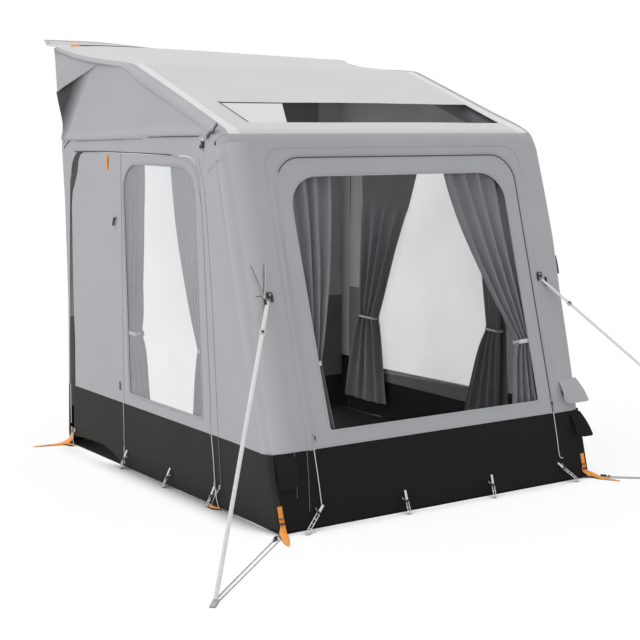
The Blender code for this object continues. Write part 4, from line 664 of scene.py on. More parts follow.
def on_side(side, lift=0.0):
    return lambda u, v, w=0.0: pressed(plan(side * (HALF + w + lift), u, v))


def lowered(place, drop):
    """The same place, a drop behind its face."""
    return lambda u, v, w=0.0: place(u, v, w - drop)


EAVE_BEND, RIDGE_BEND, ROOF_START = 0.10, 0.30, 1.880


def profile():
    """Dense points along the roof, from the front wall's top to the rail, and their lengths."""
    start, eave, ridge, rail = (Vector(p) for p in ((ROOF_START * SIN, ROOF_START * COS), FRONT_TOP, RIDGE, RAIL))
    points = [start, *bend(start, eave, ridge, EAVE_BEND, 16), *bend(eave, ridge, rail, RIDGE_BEND, 16), rail]
    dense = dense_line(points, 0.01)
    lengths = [0.0]
    for a, b in zip(dense, dense[1:]):
        lengths.append(lengths[-1] + (b - a).length)
    return dense, lengths


PROFILE, LENGTHS = profile()
ROOF_END = LENGTHS[-1]


def along_roof(s):
    """Point and outward normal of the roof's profile at a length from its front edge."""
    s = max(0.0, min(ROOF_END, s))
    low = min(bisect.bisect_right(LENGTHS, s) - 1, len(LENGTHS) - 2)
    share = (s - LENGTHS[low]) / (LENGTHS[low + 1] - LENGTHS[low])
    a, b = neighbours(PROFILE, low)[0], neighbours(PROFILE, low + 1)[1]
    run = (b - a).normalized()
    return PROFILE[low] + (PROFILE[low + 1] - PROFILE[low]) * share, Vector((-run.y, run.x))


def roof_length(y):
    """Length along the roof's profile at which it reaches a plan depth."""
    return between(y, [(p.x, s) for p, s in zip(PROFILE, LENGTHS)])


def half_at(y):
    return HALF + RAIL_FLARE * max(0.0, y - RIDGE[0]) / (RAIL[0] - RIDGE[0])


EDGE, CORNER, SKIRT_CORNER = 0.026, 0.055, 0.032
DROOP, SAG = 0.030, 0.027


def drooped(point):
    """Lets the roof hang: a little more at its right rear corner, and along its side edges behind the ridge."""
    y = point.y - SHIFT
    drop = DROOP * smooth(point.x, -0.6, 1.05) * smooth(y, 1.45, 2.40) * smooth(point.z, 1.9, 2.2)
    share = max(0.0, min(1.0, (y - 1.50) / 0.94))
    drop += SAG * math.sin(math.pi * share ** 1.35) * smooth(abs(point.x), 0.70, 1.0) * smooth(point.z, 1.95, 2.2)
    return Vector((point.x, point.y, point.z - drop))


def roof(u, s, w=0.0):
    """The roof with its long edges turned down over the side walls."""
    point, normal = along_roof(s)
    w += -0.0004 + 0.0022 * smooth(s, 0.0, 0.05)
    edge = EDGE + (CORNER - EDGE) * (1 - smooth(s, 0.05, 0.22))
    x, depth = wrap(half_at(point.x), edge, u, w)
    at = point - normal * depth
    return drooped(pressed(plan(x, at.x, at.y)))


SLOPE = math.atan2(RIDGE[1] - FRONT_TOP[1], RIDGE[0] - FRONT_TOP[0])
SKY_FOOT = 0.14
SKY_START = roof_length(FRONT_TOP[0] + SKY_FOOT * math.cos(SLOPE)) - SKY_FOOT


def sky(u, t, w=0.0):
    """The front roof's plane, from its front corner up the slope."""
    c, s = math.cos(SLOPE), math.sin(SLOPE)
    return plan(u, FRONT_TOP[0] + t * c - w * s, FRONT_TOP[1] + t * s + w * c)


def fold_lines(radius, divisions, count=5):
    """Cuts along an edge that turns over a corner, on both sides."""
    return [
        (0, sign * (HALF - radius + radius * k * math.pi / divisions)) for sign in (-1, 1) for k in range(count)
    ]


def box(left, low, right, high, radius=0.01, steps=3):
    return rounded([(left, low, radius), (right, low, radius), (right, high, radius), (left, high, radius)], steps)


# Roof

EAVE_SEAM, BINDING_FROM, BINDING_TO = 0.056, 0.898, 1.56
PALE_BORDER, EAVE_STRIP = 2, 4
FILM_SLACK = 0.0004


def roof_relief(u, s):
    edge = max(0.0, 1 - abs(abs(u) - 0.97) / 0.06)
    soft = wander(u, s, 1.4, 1.1, 3.0, 0.004) + wander(u, s, 5.0, 3.0, 8.0, 0.0012)
    near_end = min(1.0, (ROOF_END - s) / 0.15) * min(1.0, s / 0.12)
    return max(-0.001, soft) * near_end * (1 - 0.7 * edge)


def roof_colour(u, s):
    if s < EAVE_SEAM:
        return EAVE_STRIP
    return PALE_BORDER if abs(u) > BINDING_FROM and along_roof(s)[0].x < BINDING_TO else 0


roof_reach = HALF - EDGE + EDGE * math.pi / 2 + 0.012
edge_points = [
    (roof_reach, 0.0), (roof_reach, roof_length(1.36)), (roof_reach - 0.010, roof_length(1.46)),
    (roof_reach - 0.020, roof_length(RIDGE[0] + 0.05)), (roof_reach - 0.022 + RAIL_FLARE * 0.5, roof_length(1.95)),
    (roof_reach - 0.022 + RAIL_FLARE, ROOF_END),
]
EDGE_CUTS = fold_lines(EDGE, 8) + fold_lines(CORNER, 10)
make_sheet(
    "roof_cloth", edge_points + [(-x, y) for x, y in reversed(edge_points)], roof, Z,
    [ROOF_LIGHT, ROOF_INNER, BINDING, ROOF_INNER, FRONT_GREY, INNER], ["front_roof", "rear_roof"],
    [[(x, y + SKY_START) for x, y in box(-0.775, SKY_FOOT, 0.877, 0.455)]],
    relief=roof_relief, colour_of=roof_colour, step=0.035,
    lines=EDGE_CUTS + [(0, -BINDING_FROM), (0, BINDING_FROM), (1, EAVE_SEAM)] + [(1, 0.0125 * k) for k in range(1, 9)],
)
EDGE_DEPTHS = (0.56, 0.70, 0.90, 1.10, 1.30, 1.42, 1.50, 1.58, 1.70, 1.85, 2.0, 2.15, 2.28, 2.368)
for side, wall in SIDES:
    inner = [(0.955 + 0.062 * smooth(y, 1.55, 2.42), roof_length(y)) for y in EDGE_DEPTHS]
    outer = [(x + 0.002, s) for x, s in edge_points]
    for line in (inner, outer):
        line[0] = (line[0][0], EAVE_SEAM + 0.001)
    make_sheet(
        f"{wall}_edge_cloth", [(side * x, s) for x, s in inner + outer[::-1]], roof, Z,
        relief=lambda u, s: roof_relief(u, s) + 0.0022, lines=[(0, side * x) for _, x in EDGE_CUTS if x > 0],
        step=0.035, thickness=0.0012,
    )
make_sheet(
    "skylight_pane", box(-0.789, 0.126, 0.891, 0.469), lowered(sky, 0.0033), Z, [SKY_FILM], ["skylight_film"],
    inner=0, thickness=0.001, step=0.06, relief=lambda u, t: wander(u, t, 3.0, 5.0, 5.0, FILM_SLACK),
)
make_sheet(
    "skylight_cover", [(-0.789, 0.12), (-0.554, 0.12), (-0.371, 0.475), (-0.789, 0.475)], lowered(sky, 0.0049), Z,
    [BINDING, ROOF_INNER], ["skylight_blind"], body="blind", thickness=0.0018, step=0.03,
)

# Front wall: surround, panel with its window, and skirt

PANEL_LEFT, PANEL_RIGHT, PANEL_TOP = -0.742, 0.818, 1.81
WALL_TOP, CORNER_FROM, SKIRT_FROM, SEAM_END = 1.890, -0.868, -0.978, 0.972
FILM_DROP, FILM_THICK, CORNER_LIT_LOOK = 0.0032, 0.0009, 2


def front_relief(u, v):
    soft = wander(u, v, 1.6, 1.0, 12.0, 0.0035) + wander(u, v, 6.0, 2.2, 14.0, 0.0014)
    soft += wander(u, v, 15.0, 0.8, 15.0, 0.0034) * smooth(abs(u), 0.80, 0.87)
    hold = min(1.0, abs(v - SKIRT_V) / 0.1) * min(1.0, abs(1.88 - v) / 0.08)
    return max(-0.0008, soft) * hold


def panel_relief(u, v):
    edge = min(1.0, (PANEL_RIGHT - u) / 0.05) * min(1.0, (u - PANEL_LEFT) / 0.05)
    return wander(u, v, 4.0, 2.0, 21.0, 0.0010) * edge * min(1.0, abs(v - PANEL_TOP) / 0.05)


def skirt_relief(u, v):
    hem = max(0.0, 1 - v / 0.10)
    wave = wander(u, 0.0, 5.0, 1.0, 41.0, 0.008) + wander(u, v, 11.0, 3.0, 43.0, 0.003)
    return max(-0.0005, wave) * (0.25 + hem) * min(1.0, abs(SKIRT_V - v) / 0.06)


def arched(grow, radius, foot=SKIRT_V, steps=9, top=PANEL_TOP):
    """Up the panel's left edge, over its rounded corners and down its right edge."""
    a, b, top = PANEL_LEFT - grow, PANEL_RIGHT + grow, top + grow
    return rounded([(a, foot, 0), (a, top, radius), (b, top, radius), (b, foot, 0)], steps)


def front_window(left, low, right, high, top_left, radius, steps):
    return rounded([(left, low, 0.012), (right, low, 0.012), (right, high, radius), (top_left, high, radius)], steps)


wall_reach = HALF - CORNER + CORNER * math.pi / 2 + 0.018
seam_ends = [(wall_reach, SKIRT_V + 0.020), (SEAM_END, SKIRT_V - 0.002)]
# Left of CORNER_FROM the surround takes the corner cloth with its painted light band
make_sheet(
    "front_surround_cloth",
    [(-x, v) for x, v in seam_ends] + [tuple(p) for p in arched(0.0, 0.15, SKIRT_V - 0.004, 10)] + seam_ends[::-1]
    + [(wall_reach, WALL_TOP), (-wall_reach, WALL_TOP)],
    wrapped(CORNER), OUT, [FRONT_GREY, INNER, CORNER_PAINTED_LIGHT, INNER], ["front_surround"], relief=front_relief,
    lines=fold_lines(CORNER, 12, 7) + [(0, CORNER_FROM)], colour_of=lambda u, v: CORNER_LIT_LOOK if u < CORNER_FROM else 0,
)
make_sheet(
    "front_panel_cloth", arched(-0.002, 0.148, steps=10), front, OUT, [FRONT_GREY, INNER], ["front_panel"],
    [front_window(-0.640, 0.453, 0.727, 1.712, -0.671, 0.16, 10)], body="front_panel", relief=panel_relief, step=0.05,
)
make_sheet(
    "front_pane", front_window(-0.654, 0.440, 0.740, 1.725, -0.684, 0.165, 10), lowered(front, FILM_DROP), OUT,
    [FRONT_FILM], ["front_window_film"], body="front_panel", inner=0, thickness=FILM_THICK,
    step=0.08, relief=lambda u, v: wander(u, v, 2.0, 2.0, 31.0, 0.0006),
)
skirt_reach = HALF - SKIRT_CORNER + SKIRT_CORNER * math.pi / 2 + 0.045
skirt_left = [
    (-SEAM_END, SKIRT_V), (-skirt_reach, SKIRT_V + 0.018), (-skirt_reach, 0.036), (-1.0, 0.014), (-0.96, 0.010),
]
# Left of SKIRT_FROM the front skirt takes the lighter side copy, so the painted light turns the corner
make_sheet(
    "front_skirt_cloth", skirt_left + [(-u, v) for u, v in reversed(skirt_left)], wrapped(SKIRT_CORNER), OUT,
    [FRONT_BLACK_SHADED, BLACK_INSIDE, *SKIRT], ["front_skirt"], relief=skirt_relief,
    colour_of=lambda u, v: CORNER_LIT_LOOK if u < SKIRT_FROM else 0, lines=fold_lines(SKIRT_CORNER, 8) + [(0, SKIRT_FROM)],
)

# Side walls, drawn by plan depth and height

SIDE_DEPTH = CORNER + 0.012
GROUND_GAP, RIGHT_LOW, SKIRT_BAND, LOW_LOOK = 0.004, 0.83, 0.245, 2
REAR_EDGE = {
    -1: [
        (0.004, 2.335), (0.073, 2.343), (0.387, 2.330), (0.864, 2.318), (1.453, 2.334), (1.755, 2.363),
        (1.923, 2.345), (2.060, 2.392), (2.15, 2.368),
    ],
    1: [
        (0.004, 2.335), (0.387, 2.337), (0.864, 2.345), (1.453, 2.354), (1.755, 2.360), (1.923, 2.362),
        (2.060, 2.366), (2.15, 2.368),
    ],
}
REAR_SLOT = {
    -1: [(2.322, 0.12), (2.318, 0.38), (2.305, 0.64), (2.292, 0.95), (2.276, 1.31), (2.262, 1.56), (2.246, 1.745)],
    1: [(2.243, 0.004), (2.243, 1.745)],
}
DOOR = [
    (1.617, 0.006), (1.617, 1.742), (2.06, 1.741), (2.118, 1.722), (2.144, 1.686), (2.157, 1.622), (2.190, 1.562),
    (2.228, 1.507), (2.242, 1.420), (2.243, 1.10), (2.241, 0.80), (2.231, 0.634), (2.238, 0.37), (2.262, 0.30),
    (2.270, 0.15), (2.262, 0.050), (2.215, 0.058), (2.05, 0.070), (1.88, 0.073), (1.76, 0.052), (1.66, 0.014),
]


def front_edge(z, depth):
    """Plan depth of a line parallel to the front wall at a depth behind it."""
    return z * math.tan(LEAN) + depth / COS


def roll_line(y):
    """Height of the roll of cloth above the side panels."""
    return between(y, [(0.70, 1.851), (1.28, 1.838), (1.36, 1.827), (2.17, 1.804)])


def side_relief(side):
    seed = 60.0 if side < 0 else 80.0

    def relief(u, v):
        soft = wander(u, v, 2.2, 0.9, seed, 0.005) + wander(u, v, 7.0, 2.0, seed + 2, 0.0016)
        edge = min(1.0, max(0.0, (v - SKIRT_Z)) / 0.12)
        over = v - roll_line(u)
        roll = 0.0
        if -0.004 < over < 0.055:
            roll = 0.0105 * (smooth(over, -0.004, 0.004) * (1 - smooth(over, 0.012, 0.055)))
            roll *= smooth(u, 0.62, 0.80) * (0.75 + 0.4 * noise.noise(Vector((u * 4, seed, 0))))
        return max(-0.0006, soft) * edge + roll

    return relief


def wall_top():
    """The side wall's top edge, tucked a little under the roof's turned-down edge."""
    points = []
    for s in even(0.02, ROOF_END - 0.002, 52):
        point, normal = along_roof(s)
        points.append(point - normal * (0.034 - 0.024 * smooth(point.x, 1.40, 1.62)))
    gaps = [p.x - front_edge(p.y, SIDE_DEPTH) for p in points]
    first = next(i for i, gap in enumerate(gaps) if gap > 0)
    if not first:
        height = points[0].y + 0.02
        return [Vector((front_edge(height, SIDE_DEPTH), height))] + points
    a, b = points[first - 1], points[first]
    return [a + (b - a) * (-gaps[first - 1] / (gaps[first] - gaps[first - 1]))] + points[first:]


for side, wall in SIDES:
    low_z = SKIRT_Z if side < 0 else GROUND_GAP
    foot = [(0.66, SKIRT_Z, 0)] if side < 0 else [(0.653, GROUND_GAP, 0), (0.660, 0.345, 0)]
    corner = (*REAR_SLOT[side][-1], 0.14 if side < 0 else 0.06)
    opening = rounded(foot + [(0.75, 1.745, 0.15), corner, (2.24, 1.0, 0)], 8)
    make_sheet(
        f"{wall}_surround_cloth",
        [(front_edge(low_z, SIDE_DEPTH), low_z)] + [tuple(p) for p in wall_top()]
        + [(y, z) for z, y in reversed(REAR_EDGE[side])] + [(REAR_EDGE[side][0][1] - 0.010, GROUND_GAP)]
        + REAR_SLOT[side][:-1] + [tuple(p) for p in reversed(opening[:-1])],
        lambda u, v, w=0.0: drooped(pressed(plan(side * (HALF + w), u, v))), (side, 0, 0), LOW_WALL,
        [f"{wall}_surround"], relief=side_relief(side), step=0.045,
        colour_of=lambda u, v: LOW_LOOK if v < SKIRT_Z else 0,
        lines=[(1, SKIRT_Z)] + [(1, 1.798 + 0.006 * k) for k in range(19)],
    )


def side_window(foot, top, foot_z, top_z, radius, steps=8):
    """A side window; foot, top and foot_z each give its front and rear value."""
    corners = [(foot[0], foot_z[0], 0.02), (foot[1], foot_z[1], 0.02), (top[1], top_z, radius), (top[0], top_z, radius)]
    return rounded(corners, steps)


def side_pane(name, side, outline, body, node):
    make_sheet(
        name, outline, on_side(side, -FILM_DROP), (side, 0, 0), [SIDE_FILM], [node], body=body,
        inner=0, thickness=FILM_THICK, step=0.09,
    )


# Left wall: window panel, door and skirt
make_sheet(
    "left_panel_cloth",
    rounded([(0.663, SKIRT_Z, 0), (1.613, SKIRT_Z, 0), (1.613, 1.742, 0), (0.753, 1.742, 0.148)], 8),
    on_side(-1), -X, WALL, ["left_window_panel"],
    [side_window((0.745, 1.535), (0.83, 1.585), (0.43, 0.43), 1.685, 0.14)], relief=side_relief(-1), step=0.05,
)
side_pane(
    "left_pane", -1, side_window((0.731, 1.549), (0.816, 1.599), (0.416, 0.416), 1.699, 0.15), "shell",
    "left_window_film",
)
skirt_edge = [(front_edge(z, 0.072), z) for z in (SKIRT_Z, GROUND_GAP)]
make_sheet(
    "left_skirt_cloth", skirt_edge + [(1.613, GROUND_GAP), (1.613, SKIRT_Z)], on_side(-1), -X, SKIRT, ["left_skirt"],
    relief=skirt_relief,
)
make_sheet(
    "left_door_cloth", DOOR, on_side(-1), -X, LOW_WALL, ["left_door"], body="left_door", relief=side_relief(-1),
    step=0.045, colour_of=lambda u, v: LOW_LOOK if v < SKIRT_Z else 0, lines=[(1, SKIRT_Z)],
)

# Right wall: panel with its window and skirt
make_sheet(
    "right_panel_cloth",
    rounded([(0.662, 0.345, 0), (0.752, 1.743, 0.149), (2.2415, 1.743, 0.059), (2.2415, 0.295, 0)], 8), on_side(1), X,
    [GREY, INNER, GREY, INNER_LOW], ["right_side_panel"],
    [side_window((0.745, 1.99), (0.83, 2.02), (0.352, 0.325), 1.685, 0.14)], body="right_panel",
    relief=side_relief(1), step=0.05, colour_of=lambda u, v: LOW_LOOK if v < RIGHT_LOW else 0, lines=[(1, RIGHT_LOW)],
)
side_pane(
    "right_pane", 1, side_window((0.731, 2.004), (0.816, 2.034), (0.344, 0.312), 1.699, 0.15), "right_panel",
    "right_window_film",
)
make_sheet(
    "right_skirt_cloth", [(0.655, GROUND_GAP), (2.2415, GROUND_GAP), (2.2415, 0.2935), (0.664, 0.345)], on_side(1), X,
    [*SKIRT, SIDE_BLACK_LIT, INNER_LOW], ["right_skirt"], body="right_panel", relief=skirt_relief,
    colour_of=lambda u, v: LOW_LOOK if v > SKIRT_BAND else 0, lines=[(1, SKIRT_BAND)],
)

# Curtains

ROWS, COLUMNS, FOLDS, CURTAIN_FLAT, BAND_POWER = 56, 96, 4, 0.48, 0.55


def behind_front(u, v, w):
    return front(u, v, -w)


def behind_side(side):
    return lambda u, v, w: plan(side * (HALF - w), u, v)


def fold_depth(width):
    ratio = CURTAIN_FLAT / max(width, 0.02)
    return math.sqrt(max(0.0, 2 * (ratio * ratio - 1))) * width / (2 * math.pi * FOLDS)


def rounded_turn(turn, power):
    """Cosine and sine of a turn round a box with soft corners."""
    return (math.copysign(abs(part) ** power, part) for part in (math.cos(turn), math.sin(turn)))


def make_curtain(wall, place, hem, lead, heights, seed, fall=1.5, band_height=0.022):
    """A gathered curtain with a band round its folds; hem and lead run from top over tie to foot."""
    top, tie, foot = heights
    drop = top - foot
    tie_share = (top - tie) / drop
    grid = []
    for row in range(ROWS + 1):
        share = row / ROWS
        if share <= tie_share:
            at, first = (share / tie_share) ** fall, 0
        else:
            at, first = ((share - tie_share) / (1 - tie_share)) ** 0.7, 1
        a, b = (edge[first] + (edge[first + 1] - edge[first]) * at for edge in (hem, lead))
        width = abs(b - a)
        deep = fold_depth(width)
        close = math.exp(-((share - tie_share) / 0.05) ** 2)
        line = []
        for column in range(COLUMNS + 1):
            along = column / COLUMNS
            bow = math.sin(math.pi * along)
            drift = wander(along, share, 3.0, 2.2, seed, 0.55) * (1 - 0.6 * close)
            wave = math.sin(2 * math.pi * FOLDS * along + drift * 1.6)
            fine = wander(along, share, 14.0, 5.0, seed + 4, 0.22)
            lean = wander(along, share, 5.0, 1.4, seed + 7, 0.020) * (1 - close) * bow
            height = top - drop * share - (0.006 * bow if row == ROWS else 0.0)
            depth = WALL_TO_CURTAIN + deep + 0.0025 + deep * max(-1.0, min(1.0, wave * (1 + fine)))
            line.append(place(a + (b - a) * along + lean * width * 2.2, height, depth))
        grid.append(line)
    item = grid_item(f"{wall}_drape", grid, [CURTAIN])
    thicken(item, 0.0012, 0, place(0, 0, -1) - place(0, 0, 0))
    settle(item, f"{wall}_curtain", [f"{wall}_curtain"])

    half = abs(hem[1] - lead[1]) / 2
    near, far = WALL_TO_CURTAIN - 0.003, WALL_TO_CURTAIN + 2 * fold_depth(half * 2) + 0.0075
    ring = []
    for turn in steps_round(28):
        c, s = rounded_turn(turn, BAND_POWER)
        across, height = (hem[1] + lead[1]) / 2 + (half + 0.003) * c, tie + 0.004 * math.sin(turn + 1.0)
        ring.append(place(across, height, (near + far) / 2 + (far - near) / 2 * s))
    band = Parts(f"{wall}_tie_band", TIE)
    band.sweep(ring, strap_section(band_height, 0.0016), place(0, 1, 0) - place(0, 0, 0), closed=True)
    band = band.done(f"{wall}_curtain", "curtain_cloth")


FRONT_HEIGHTS = (1.7324, 0.782, SKIRT_V + 0.026)
SIDE_TOP = 1.6994
LEFT_HEIGHTS = (SIDE_TOP, 0.765, 0.38)
make_curtain("front_left", behind_front, (-0.715,) * 3, (-0.392, -0.624, -0.598), FRONT_HEIGHTS, 99.0)
make_curtain("front_right", behind_front, (0.745, 0.757, 0.757), (0.342, 0.668, 0.564), FRONT_HEIGHTS, 101.0, 1.4)
make_curtain("left_rear", behind_side(-1), (1.645, 1.63, 1.645), (1.4, 1.47, 1.35), LEFT_HEIGHTS, 111.0)
make_curtain("left_front", behind_side(-1), (0.79, 0.735, 0.735), (1.095, 0.815, 0.87), LEFT_HEIGHTS, 117.0)
make_curtain(
    "right_rear", behind_side(1), (2.10, 2.060, 2.26), (1.497, 1.896, 1.800), (SIDE_TOP, 0.655, 0.10), 121.0, 1.08,
    0.012,
)
make_curtain(
    "right_front", behind_side(1), (0.79, 0.70, 0.70), (1.10, 0.812, 1.03), (SIDE_TOP, 0.722, 0.15), 127.0, 0.6, 0.012,
)

# Folded wings, draught pads and the valance at the rear

WING_HEAD = [(1.84, 2.2380), (1.98, 2.2545), (2.10, 2.2710), (2.22, 2.2900), (2.32, 2.3105), (2.405, 2.3360)]
WING_FOOT = [(1.84, 2.2350), (1.985, 2.1890), (2.08, 2.1610), (2.17, 2.1340), (2.27, 2.1060), (2.347, 2.0790)]
WING_OUT = [0.003, 0.010, 0.016, 0.022, 0.027, 0.031]
HOLLOW_FRONT = [(1.99, 2.184), (2.10, 2.060), (2.20, 1.945), (2.28, 1.852), (2.335, 1.780)]
HOLLOW_REAR = [(2.01, 2.190), (2.20, 2.138), (2.390, 2.082), (2.366, 2.000), (2.338, 1.900)]
PAD_HEIGHTS = [0.004, 0.02, 0.10, 0.21, 0.225, 0.45, 0.755, 0.765, 1.0, 1.3, 1.6, 1.9, 2.08, 2.20, 2.266, 2.278]
PAD_TOP, PAD_INNER, PAD_OUTER, PAD_HALF_THICK = 2.28, 0.797, 0.9982, 0.0064


def wing_sheet(name, side, heads, feet, rows, columns, out, materials):
    """A sheet between two lines beside the wall; out gives its way off the wall at a place and its shares."""
    heads, feet = ([Vector(p) for p in line] for line in (heads, feet))
    grid = []
    for row in range(rows + 1):
        at = row / rows * (len(heads) - 1)
        head, foot = in_table(at, heads), in_table(at, feet)
        line = []
        for column in range(columns + 1):
            share = column / columns
            here = head.lerp(foot, share)
            away = out(here, share, row / rows)
            lowering = DROOP * smooth(here[0], 1.45, 2.40) if side > 0 else 0.0
            line.append(plan(side * (HALF + away), here[0], here[1] - lowering))
        grid.append(line)
    item = grid_item(name, grid, materials)
    thicken(item, THIN, 1, X * side)
    settle(item, "shell")


for side, wall in SIDES:
    def wing_out(here, share, rear):
        bow = math.sin(math.pi * share)
        here.x -= 0.022 * bow * rear ** 2
        bulge = in_table(rear * 5, WING_OUT) * (0.62 + 0.38 * share) + 0.008 * bow * rear
        return bulge + wander(here.x, here.y, 9.0, 9.0, 140 + side, 0.003)

    def hollow_out(here, share, low):
        return side_relief(side)(here.x, here.y) + 0.0016 + 0.014 * share * math.sin(math.pi * low)

    wing_sheet(f"{wall}_folded_wing", side, WING_HEAD, WING_FOOT, 28, 10, wing_out, WALL)
    # A thin sheet laid on the wall under each wing carries that painted shade
    wing_sheet(
        f"{wall}_wing_shade_sheet", side, HOLLOW_FRONT, HOLLOW_REAR, 16, 8, hollow_out, [WING_PAINTED_SHADE, INNER],
    )
    pad = Parts(f"{wall}_draught_pad", INNER, INNER_LOW, BLACK_INSIDE)
    middle, half = (PAD_INNER + PAD_OUTER) / 2, (PAD_OUTER - PAD_INNER) / 2
    rows = []
    for z in PAD_HEIGHTS:
        thick = PAD_HALF_THICK * math.sqrt(max(0.05, min(1.0, min(z - GROUND_GAP, PAD_TOP - z) / 0.02)))
        line = []
        for turn in steps_round(24):
            c, s = math.cos(turn), math.sin(turn)
            x = middle + half * math.copysign(abs(c) ** 0.2, c)
            dent = 1 - 0.25 * math.exp(-((x - middle) / 0.02) ** 2)
            y = between(z, REAR_EDGE[side]) - 0.0100 + thick * dent * math.copysign(abs(s) ** 0.5, s)
            line.append(plan(side * x, y, z))
        rows.append(line)
    pad.loft(rows, [2 if z < 0.22 else 1 if z < 0.76 else 0 for z in PAD_HEIGHTS])
    pad.done("shell", "grey_cloth")

VALANCE_FOOT, VALANCE_TOP = 1.842, 2.325
make_sheet(
    "rear_valance", [(-0.80, VALANCE_FOOT), (0.80, VALANCE_FOOT), (0.80, VALANCE_TOP), (-0.80, VALANCE_TOP)],
    lambda u, v, w=0.0: drooped(plan(u, 2.323 + 0.02 * (v - 1.86), v)) + Y * w, -Y, [INNER_LOW, INNER_LOW],
    step=0.05, thickness=0.0018,
    relief=lambda u, v: 0.0012 + wander(u, v, 8.0, 1.5, 130.0, 0.0035) * smooth(VALANCE_TOP - v, 0.0, 0.2),
)

# Inflated poles in their sleeves

POLE_RADIUS, POLE_GAP, SLEEVE_RADIUS, CROSS_RADIUS = 0.055, 0.0033, 0.0545, 0.0395
POLE_EAVE_BEND, POLE_RIDGE_BEND, POLE_END = 0.13, 0.33, 0.060


def pole_route():
    """The side poles' middle line, inside the front wall and the roof."""
    off = POLE_GAP + POLE_RADIUS
    base = [Vector(p) for p in ((0.0, 0.0), FRONT_TOP, RIDGE, RAIL)]
    lines = []
    for a, b in zip(base, base[1:]):
        run = (b - a).normalized()
        lines.append((a + Vector((run.y, -run.x)) * off, run))
    eave, ridge = (
        p + d * ((q - p).cross(e) / d.cross(e)) for (p, d), (q, e) in zip(lines, lines[1:])
    )
    start, run = Vector((off / COS, 0.0)), lines[2][1]
    end = ridge + run * ((RAIL[0] - POLE_END - ridge.x) / run.x)
    eave_arc, ridge_arc = bend(start, eave, ridge, POLE_EAVE_BEND, 12), bend(eave, ridge, end, POLE_RIDGE_BEND, 12)
    return dense_line([start, *eave_arc, *ridge_arc, end], 0.06)


def make_sleeve(pole, points, radius, sides, scales):
    sleeve = Parts(f"{pole}_sleeve", POLE)
    sleeve.tube(points, radius, 0, sides, scales)
    sleeve.done("shell", "pole_cloth", f"{pole}_air_pole")


for side, wall in SIDES:
    points = []
    for p in pole_route():
        at = plan(side * (HALF - POLE_GAP - POLE_RADIUS), p.x, p.y)
        shift = pressed(Vector((side * HALF, at.y, at.z))).x - side * HALF
        points.append(drooped(at + X * shift * 0.9))
    points[0].z = 0.015
    last = len(points) - 1
    make_sleeve(wall, points, SLEEVE_RADIUS, 24, [
        (0.90 if i in (0, last) else 1.0) * (1 - 0.02 * abs(math.sin(i * 0.9)) - 0.012 * (i % 2))
        for i in range(last + 1)
    ])
for name in ("eave", "ridge"):
    low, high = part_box(f"{name}_air_pole")
    middle = (low + high) / 2
    make_sleeve(
        name, [Vector((x, middle.y, middle.z)) for x in even(low.x, high.x, 40)], CROSS_RADIUS, 20,
        [(0.75 if i in (0, 40) else 0.93 if i in (1, 39) else 1.0) - 0.012 * (i % 2) for i in range(41)],
    )

# Strip along the rear of the roof: upright at its left end, fallen back farther along

STRIP_HALF, STRIP_FRONT, STRIP_Z, WEB_HALF_THICK = 1.058, 2.370, 2.3462, 0.0013
WEB_PLACES = (0.004, 0.016, 0.034)
EYELET_X, EYELET_UP, EYELET_RADIUS = 1.039, 0.017, 0.0062


def strip_point(x, along, out=0.0):
    """A point of the strip's web: along from its fold, out from its front face."""
    lean = math.radians(38 + 50 * smooth(x, -0.86, -0.20)) * smooth(along, -0.001, 0.004)
    y = 2.4285 + along * math.sin(lean) - out * math.cos(lean)
    return drooped(plan(x, y, 2.3476 + along * math.cos(lean) + out * math.sin(lean)))


strip = Parts("rail_strip_cloth", BINDING, STEEL, ROOF_LIGHT, ZIP_DARK)
stations = even(-STRIP_HALF, STRIP_HALF, 64)
strip.loft([
    [drooped(plan(x, y, STRIP_Z)) for y in (STRIP_FRONT, 2.40, 2.4300)]
    + [strip_point(x, d, -WEB_HALF_THICK) for d in WEB_PLACES]
    + [strip_point(x, d, WEB_HALF_THICK) for d in WEB_PLACES[::-1]]
    + [drooped(plan(x, y, STRIP_Z + 0.0028)) for y in (2.4260, 2.40, STRIP_FRONT)]
    for x in stations
])
strip.tube([strip_point(x, 0.0375) for x in stations], 0.0035, 2, 10)
# Painted shade: a dark strap along the foot of the fallen web stands for the slit under the strip
strip.sweep(
    [strip_point(x, 0.0050, 0.0034) for x in even(-0.86, -0.30, 20)], strap_section(0.0120, 0.0016), (0, 0.4, 0.9), 3,
    [0.3 + 0.7 * math.sin(math.pi * (i + 1) / 22) for i in range(21)],
)
for side, _ in SIDES:
    ring = [
        strip_point(side * EYELET_X + EYELET_RADIUS * math.cos(t), EYELET_UP + EYELET_RADIUS * math.sin(t), 0.0005)
        for t in steps_round(16)
    ]
    strip.sweep(ring, [(0.0024 * math.cos(t), 0.0022 * math.sin(t)) for t in steps_round(6)], Y, 1, None, True)
strip.done("shell", "light_cloth", "rail_strip")
tab = Parts("rear_orange_tab", ORANGE_WEBBING)
tab_path = [drooped(plan(-0.93 + 0.008 * i, 2.368, 2.3535 + 0.0012 * math.sin(i))) for i in range(8)]
tab.sweep(smooth_path(tab_path, 2), strap_section(0.022, 0.0014), (0, 0.7, 0.7))
tab.done("shell", "orange_webbing")

# Black mud flaps that lie on the ground inside the walls, wide enough to cover the floor inside with painted shade


def mud_flap_and_shade(wall, outline, height, seed):
    make_sheet(
        f"{wall}_mud_flap_and_shade", outline, lambda u, v, w=0.0: plan(u, v, height(v) + max(0.0, w)), Z,
        [BLACK_INSIDE, BLACK_INSIDE], thickness=0.0012, step=0.06,
        relief=lambda u, v: abs(wander(u, v, 6.0, 3.0, seed, 0.006)),
    )


